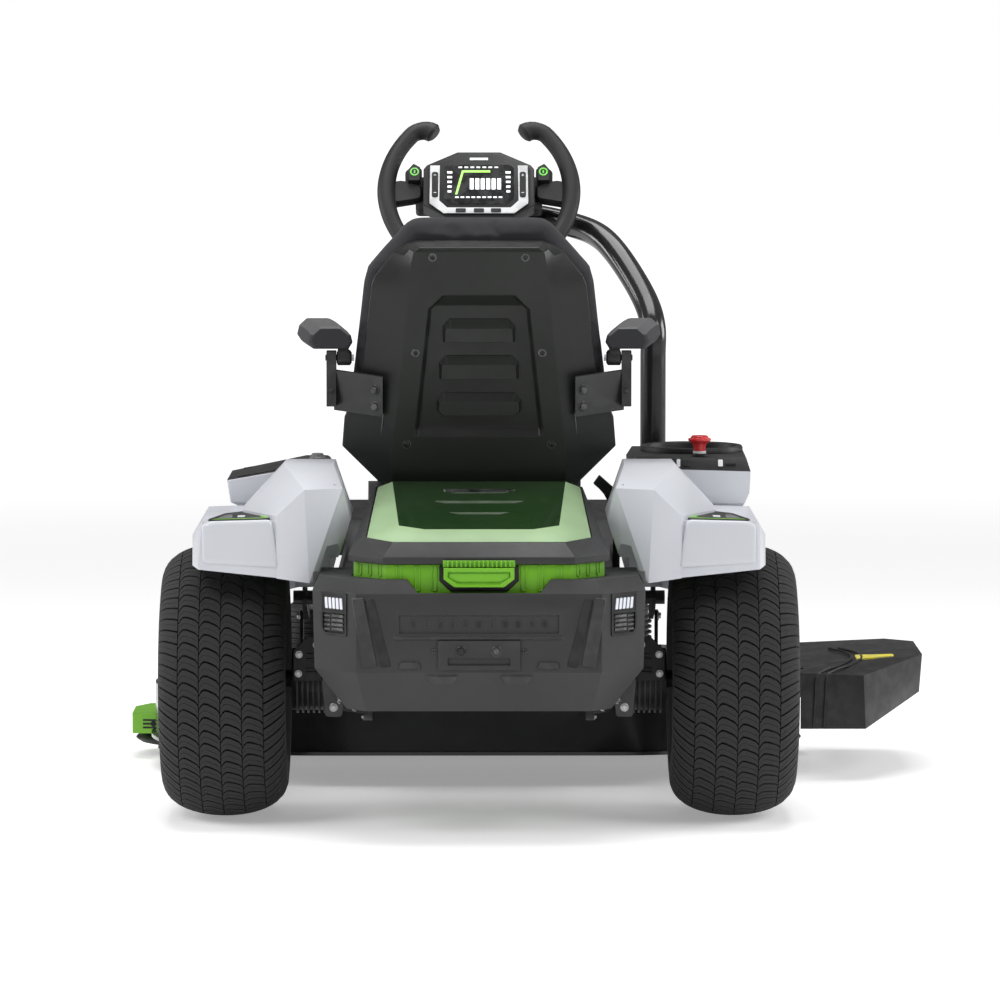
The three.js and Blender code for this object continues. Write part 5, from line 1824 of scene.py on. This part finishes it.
    def sew_back(self, points: Points) -> Points:
        """Seams of the back cushion: two upright ones and five cross channels, each a smooth dip in its front face.

        Args:
            points: the stuffed cushion's points, in row-frame metres.

        Returns:
            The sewn points.
        """
        local = points / MM - DATUM / MM - np.asarray(self.back_origin)
        a = math.radians(self.lean)
        thick = local[:, 1] * math.cos(a) + local[:, 2] * math.sin(a)
        high = -local[:, 1] * math.sin(a) + local[:, 2] * math.cos(a)
        front = np.clip((thick - 40) / 25, 0, 1)
        upright = np.exp(-(((np.abs(local[:, 0]) - 118) / self.seam) ** 2))
        across = sum(np.exp(-(((high - level) / self.seam) ** 2)) for level in (130, 190, 250, 310, 370))
        across = across * (np.abs(local[:, 0]) < 118)
        push = -front * 6.0 * np.clip(upright + across, 0, 1)
        flat = np.where(thick < 0.4, 0.4 - thick, 0.0)
        shift = (push + flat)[:, None] * np.array([0, math.cos(a), math.sin(a)])
        return points + shift * MM

    def sew_seat(self, points: Points) -> Points:
        """Seams of the seat cushion: two lengthwise seams and five cross channels in its top.

        Args:
            points: the stuffed cushion's points, in row-frame metres.

        Returns:
            The sewn points.
        """
        local = points / MM - DATUM / MM
        top = np.clip((local[:, 2] - 560) / 16, 0, 1)
        long = np.exp(-(((np.abs(local[:, 0]) - 108) / self.seam) ** 2))
        across = sum(np.exp(-(((local[:, 1] - level) / self.seam) ** 2)) for level in (180, 250, 320, 390, 460))
        across = across * (np.abs(local[:, 0]) < 108)
        shift = np.zeros_like(points)
        shift[:, 2] = -top * 6.5 * np.clip(long + across, 0, 1)
        shift[:, 2] += np.where(local[:, 2] < 484.6, 484.6 - local[:, 2], 0.0)
        return points + shift * MM

    def armrest(self, side: Side) -> None:
        """A faceted foam armrest, splayed outwards, with its hub and strap, and the bolted bracket's fasteners.

        Its faces that look up are painted grey: a painted highlight of the top light.

        Args:
            side: which side it is on.
        """
        s, label = side.value, side.label
        near = np.array(
            [[216, 780], [275, 780], [283, 792], [279, 805], [266, 817], [229, 817], [212, 803], [209, 791]], float
        )
        stations = [
            (-4.0, 0.86, 0.0), (1.0, 0.97, 0.0), (6.0, 1.0, 0.2), (60.0, 1.0, 3.0), (130.0, 1.0, 4.0),
            (200.0, 0.99, 4.0), (238.0, 0.97, 3.0), (247.0, 0.92, 2.0), (250.0, 0.8, 1.0)
        ]
        rings = []
        for y, size, crown in stations:
            middle = near.mean(0)
            ring = middle + (near - middle) * size
            lift = np.where(ring[:, 1] > 800, crown, 0.0)
            splay = 30.0 * (y + 4) / 254
            rings.append(np.stack([s * (ring[:, 0] + splay), np.full(8, y), ring[:, 1] + lift], -1))
        skin = Skin()
        skin.rings(rings, 0)
        # painted highlight: the grey finish stays on faces that look up and the rest turn black vinyl
        pad = skin.finish(f"{label}_armrest_pad", f"{label}_rest", [PAD_TOP_HIGHLIGHT], bevel=3.0, segments=3)
        retint(pad, VINYL, lambda middle, facing: facing[:, 2] < 0.5)
        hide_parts(f"{label}_armrest")
        hub = Skin()
        hub.turn(
            [[0.001, 212], [9, 212], [13, 215], [13, 235], [9, 237], [5, 237], [5, 256], [0.001, 256]], (0, 15, 765),
            (s, 0, 0), 28, False, 0
        )
        hub.turn([[0.001, 208], [6, 208], [6, 213], [0.001, 213]], (0, 15, 765), (s, 0, 0), 6, False, 1)
        strap = Plane((s * 226, 15, 774), (0, -s, 0), (0, 0, 1))
        hub.slab(strap, rounded(rectangle(-11, 11, -8, 12), 4, 2), -9.0, 9.0, 1.0, 0)
        hub.finish(f"{label}_armrest_hub", f"{label}_rest", [BLACK_PLASTIC, ZINC], sharp=32.0)
        refined(f"{label}_armrest_bracket", SATIN_BLACK, 2.0)
        bolts = Skin()
        for w in (154, 183):
            spot = self.back.at([[s * 173, w]], 43 + 6 - (173 - 160) * 0.445)[0]
            facing = self.back.out + np.array([s * 0.42, 0, 0])
            bolts.bolt(spot, facing, 6.2)
        bolts.bolt((s * 246, 1.6, 712), (0, -1, 0), 4.5)
        bolts.finish(f"{label}_bracket_bolts", "seat", [BLACK_ZINC], sharp=30.0)

    def make(self) -> None:
        """The whole seat."""
        self.shell()
        cap = self.swell * MM
        self.padded_copy("back_cushion", "back_cushion_soft", np.array([0.005, cap, 0.006]), self.sew_back)
        self.padded_copy("seat_cushion", "seat_cushion_soft", np.array([0.006, 0.006, 0.016]), self.sew_seat)
        refined("seat_frame", SATIN_BLACK, 1.2)
        for side in Side:
            self.armrest(side)


# ------------------------------------------------------------------------------------------------ steering


@dataclass
class Steering:
    """The swing arm, the yoke wheel, the screen with its keys, and the two marked buttons."""

    hub: tuple[float, float, float] = (0.0, 600.0, 1025.0)
    lean: float = 30.0
    rim: float = 164.0
    pivot: tuple[float, float, float] = (304.0, 445.0, 545.0)

    @property
    def face(self) -> Plane:
        """The wheel's plane, facing the rider."""
        a = math.radians(self.lean)
        return Plane(self.hub, (1, 0, 0), (0, math.sin(a), math.cos(a)))

    def yoke(self) -> None:
        """The rim: an open circle whose two horns curl in and thicken, with padded spokes and a hub block."""
        turn = np.radians(np.linspace(45, -225, 61))
        arc = np.stack([self.rim * np.cos(turn), self.rim * np.sin(turn)], -1)
        horn = np.array([[78, 114], [84, 119], [95, 122], [106, 120.5]], float)
        flat = np.vstack([horn, arc, horn[::-1] * [-1, 1]])
        path = smooth_path(self.face.at(flat), 130)
        s = np.linspace(0, 1, len(path))
        end = np.minimum(s, 1 - s)
        size = (
            14.6 + 3.0 * np.exp(-((end / 0.035) ** 2)) - 5.0 * np.exp(-((end / 0.004) ** 2))
            + 1.2 * np.exp(-(((end - 0.2) / 0.06) ** 2))
        )
        skin = Skin()
        skin.tube(path, size, 24, 1.02, 0)
        for side in Side:
            x = side.value
            outer = rounded(np.array([[100, -16], [154, -26], [158, 18], [138, 24], [100, 12]], float) * [x, 1], 6, 2)
            skin.rings(
                [
                    self.face.at(shrunk(outer, 4), -22), self.face.at(outer, -14), self.face.at(outer, -3),
                    self.face.at(shrunk(outer, 4), 2)
                ],
                0
            )
            block = rounded(np.array([[101, 6], [130, 6], [131, 42], [118, 54], [101, 48]], float) * [x, 1], 4, 2)
            skin.rings([self.face.at(block, -20), self.face.at(block, -5.4)], 0)
        skin.slab(self.face, rounded(rectangle(-112, 112, -34, 34), 8), -30, -9.4, 1.0, 0)
        skin.turn([[0.001, 28], [40, 28], [36, 41.6], [0.001, 41.6]], self.hub, -self.face.out, 40, False, 0)
        piece = skin.finish("steering_yoke", "yoke", [SOFT_GRIP], sharp=42.0)
        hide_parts("steering_wheel")

    def screen(self) -> None:
        """The screen housing, its pale U-shaped trim, rockers, keys and lit bars."""
        refined("display", BLACK_PLASTIC, 1.6)
        face, skin = Plane(tuple(self.face.at([[0.0, -11.0]])[0]), self.face.across, self.face.up), Skin()
        trim = np.array(
            [
                [-86, 46], [-69, 46], [-70, -24], [-56, -38], [56, -38], [70, -24], [69, 46], [86, 46], [87, -29],
                [62, -49], [-62, -49], [-87, -29]
            ],
            float
        )
        skin.rings([face.at(trim, 29.0), face.at(trim, 31.2)], 1)
        skin.slab(
            face,
            rounded(
                np.array(
                    [[-56, 48], [-62, 40], [-62, -20], [-50, -31], [50, -31], [62, -20], [62, 40], [56, 48]], float
                ),
                3, 2
            ),
            29.0, 31.0, 0.6, 0
        )
        for s in (-1, 1):
            skin.slab(face, rounded(rectangle(*sorted((s * 72, s * 83)), -18, 33), 4, 2), 30.5, 32.8, 0.8, 4)
            skin.slab(face, rectangle(*sorted((s * 75.2, s * 79.8)), 25.2, 26.6), 32.4, 33.2, 0.0, 1)
            skin.slab(face, rectangle(*sorted((s * 75.2, s * 79.8)), -9.8, -8.4), 32.4, 33.2, 0.0, 1)
            for k in range(5):
                skin.slab(
                    face, rectangle(*sorted((s * (47 + k * 0.4), s * (56 - k * 0.2))), 30 - k * 9.5, 34 - k * 9.5),
                    30.8, 31.6, 0.0, 2
                )
        skin.slab(face, rectangle(77 - 0.7, 77 + 0.7, 23.6, 28.2) - [-0.5, 0], 32.4, 33.2, 0.0, 1)
        for x in (-32, 0, 30):
            skin.slab(face, rounded(rectangle(x - 9, x + 9, -48, -40), 2, 2), 30.8, 32.6, 0.6, 4)
        skin.slab(face, rectangle(-16, 16, 57.5, 61.5), 29.0, 30.8, 0.0, 2)
        arc = np.array([[-42, -12], [-30, 36], [20, 36], [20, 32], [-27, 32], [-38, -12]], float)
        skin.rings([face.at(arc, 30.8), face.at(arc, 31.6)], 3)
        for k in range(6):
            x = -16 + k * 9.6
            skin.slab(face, rounded(rectangle(x, x + 7.0, -2, 20), 1, 2), 30.8, 31.6, 0.0, 2)
        for k in range(9):
            skin.slab(face, rectangle(-42 + k * 9.6, -35.6 + k * 9.6, -19, -16.4), 30.8, 31.6, 0.0, 2)
        for k in range(7):
            skin.slab(face, rectangle(-36 + k * 10.6, -29.6 + k * 10.6, 41, 43.4), 30.8, 31.6, 0.0, 2)
        skin.finish("screen_face", "yoke", [SCREEN_BLACK, PALE_TRIM, LIT_WHITE, LIT_GREEN, BLACK_PLASTIC], sharp=35.0)

    def buttons(self) -> None:
        """The hexagonal push buttons, each with a plain lime ring symbol."""
        for side in Side:
            s, label = side.value, side.label
            refined(f"{label}_reverse_button", BLACK_PLASTIC, 1.2)
            skin = Skin()
            plane = Plane(tuple(self.face.at([[s * 114.0, 33.0]], 12.0)[0]), self.face.across, self.face.up)
            ring = [
                plane.at(
                    np.stack(
                        [
                            r * np.cos(np.linspace(0, 2 * math.pi, 24, endpoint=False)),
                            r * np.sin(np.linspace(0, 2 * math.pi, 24, endpoint=False))
                        ],
                        -1
                    ),
                    h
                ) for r,
                h in ((8.0, -0.6), (8.0, 0.7), (5.4, 0.7), (5.4, -0.6))
            ]
            skin.grid(np.stack(ring), wrap=True, loop=True)
            skin.slab(plane, rectangle(-1.3, 1.3, -2.8, 2.8), -0.6, 0.7)
            skin.finish(f"{label}_button_symbol", f"{label}_button", [LIME_GLOW], sharp=35.0)

    def arm(self) -> None:
        """The glossy swing arm: one bent tube with its column, and the pivot boss with a pin and bolts."""
        x, y, z = self.pivot
        hub = np.asarray(self.hub)
        forward = -self.face.out
        end = hub + forward * 80
        path = smooth_path(
            [
                [x, y, z], [x, y, 640], [x, y, 740], [x, y + 3, 792], [292, 484, 836], [240, 568, 920],
                [209, 610, 948], [165, 645, 964], [90, 664, 979], end
            ],
            120
        )
        skin = Skin()
        skin.tube(path, 22.3, 32, 1.0, 0)
        skin.turn([[0.001, 42], [24, 42], [26, 45], [26, 80], [22, 84], [0.001, 84]], self.hub, forward, 36, False, 1)
        skin.turn(
            [[0.001, -26.6], [28, -26.6], [30, -24], [30, 24], [28, 26.6], [0.001, 26.6]], self.pivot, (1, 0, 0), 40,
            False, 0
        )
        skin.turn([[0.001, -41.6], [12, -41.6], [12, 41.6], [0.001, 41.6]], self.pivot, (1, 0, 0), 32, False, 2)
        for s in (-1, 1):
            skin.bolt((x + s * 40.4, y, z), (s, 0, 0), 9.0, 2)
        piece = skin.finish("steering_arm_tube", "steering_column", [GLOSS_BLACK, BLACK_PLASTIC, ZINC], sharp=35.0)
        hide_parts("steering_arm")

    def make(self) -> None:
        """The whole steering."""
        self.arm()
        self.yoke()
        self.screen()
        self.buttons()


# ------------------------------------------------------------------------------------------------ studio


@dataclass
class Studio:
    """A pale floor, a bright even surround, soft lights and the long-lens camera behind the tail."""

    eye: tuple[float, float, float] = (0.0, -9000.0, 1300.0)
    target: tuple[float, float, float] = (35.0, 0.0, 528.0)
    lens: float = 195.0
    surround: float = 0.17

    def floor(self) -> None:
        """A wide pale plane at the ground with a faint mottled tone."""
        mesh = bpy.data.meshes.new("studio_floor")
        reach = 60.0
        corners = [
            (-reach, -reach, -0.0005), (reach, -reach, -0.0005), (reach, reach, -0.0005), (-reach, reach, -0.0005)
        ]
        mesh.from_pydata(corners, [], [(0, 1, 2, 3)])
        made = bpy.data.materials.new("studio_floor_paint")
        made.use_nodes = True
        w = Wiring(made.node_tree)
        shader = made.node_tree.nodes["Principled BSDF"]
        shader.inputs["Roughness"].default_value = 0.9
        shader.inputs["Specular IOR Level"].default_value = 0.1
        w.join(w.mix(w.noise(1.5), (0.94, 0.94, 0.94), (0.96, 0.96, 0.96)), shader.inputs["Base Color"])
        away = w.add("VectorMath", operation="LENGTH")
        w.join(w.add("TexCoord").outputs["Object"], away.inputs[0])
        far = w.remap(away.outputs["Value"], 2.5, 8.0, (0.3, 1.0))
        seen = w.mix(w.add("LightPath").outputs["Is Camera Ray"], (0.22, 0.22, 0.22), far)
        w.join(seen, shader.inputs["Emission Color"])
        shader.inputs["Emission Strength"].default_value = 1.0
        mesh.materials.append(made)
        piece = bpy.data.objects.new("studio_floor", mesh)
        bpy.context.scene.collection.objects.link(piece)

    def world(self) -> None:
        """A surround that the camera sees as white and that lights the mower only softly."""
        world = bpy.data.worlds.new("studio_surround")
        bpy.context.scene.world = world
        world.use_nodes = True
        w = Wiring(world.node_tree)
        back = world.node_tree.nodes["Background"]
        seen = w.add("LightPath").outputs["Is Camera Ray"]
        w.join(w.remap(seen, 0.0, 1.0, (self.surround, 1.0)), back.inputs["Strength"])
        back.inputs["Color"].default_value = (1.0, 1.0, 1.0, 1.0)

    def lamp(self, name: str, place: Sequence[float], aim: Sequence[float], size: float, power: float) -> None:
        """A square soft light.

        Args:
            name: the light's name.
            place: where it stands, in mower millimetres.
            aim: the point it faces.
            size: its side, in metres.
            power: its power, in watts.
        """
        data = bpy.data.lights.new(name, "AREA")
        data.shape, data.size, data.energy = "SQUARE", size, power
        lamp = bpy.data.objects.new(name, data)
        bpy.context.scene.collection.objects.link(lamp)
        lamp.location = np.asarray(place) * MM + DATUM
        heading = unit(np.asarray(aim, float) - np.asarray(place, float))
        lamp.rotation_mode = "QUATERNION"
        lamp.rotation_quaternion = Vector(heading.tolist()).to_track_quat("-Z", "Y")

    def camera(self) -> None:
        """The camera straight behind the tail, a little above the wheel's height."""
        data = bpy.data.cameras.new("studio_camera")
        data.lens, data.sensor_width = self.lens, 36.0
        data.clip_start, data.clip_end = 0.1, 200.0
        camera = bpy.data.objects.new("studio_camera", data)
        bpy.context.scene.collection.objects.link(camera)
        camera.location = np.asarray(self.eye) * MM + DATUM
        heading = unit(np.asarray(self.target) - np.asarray(self.eye))
        camera.rotation_mode = "QUATERNION"
        camera.rotation_quaternion = Vector(heading.tolist()).to_track_quat("-Z", "Y")
        bpy.context.scene.camera = camera

    def make(self) -> None:
        """The studio."""
        self.floor()
        self.world()
        self.lamp("key_light", (-2400, -2600, 3400), (0, 200, 500), 1.8, 72.0)
        self.lamp("fill_light", (2900, -2400, 2900), (0, 200, 500), 1.8, 54.0)
        self.lamp("top_light", (0, 500, 4000), (0, 200, 0), 3.0, 118.0)
        for sign in (-1, 1):
            self.lamp(
                f"edge_light_{'left' if sign < 0 else 'right'}", (sign * 3600, 900, 1500), (0, 200, 500), 1.6, 50.0
            )
        self.camera()
        bpy.context.scene.view_settings.view_transform = "Standard"


def main() -> None:
    """Builds every sub-assembly in order and the studio round them."""
    logging.basicConfig(level=logging.INFO, format="%(name)s %(message)s")
    Studio().make()
    for side in Side:
        Wheel(
            f"{side.label}_rear_wheel", f"{side.label}_rear", (side.value * 423.0, 0.0, 228.0), outward=side.value
        ).make()
        Caster(side).make()
        Fender(side).make()
    Chassis().make()
    Consoles().make()
    Tail().make()
    Deck().make()
    Seat().make()
    Steering().make()


if __name__ == "__main__":
    main()
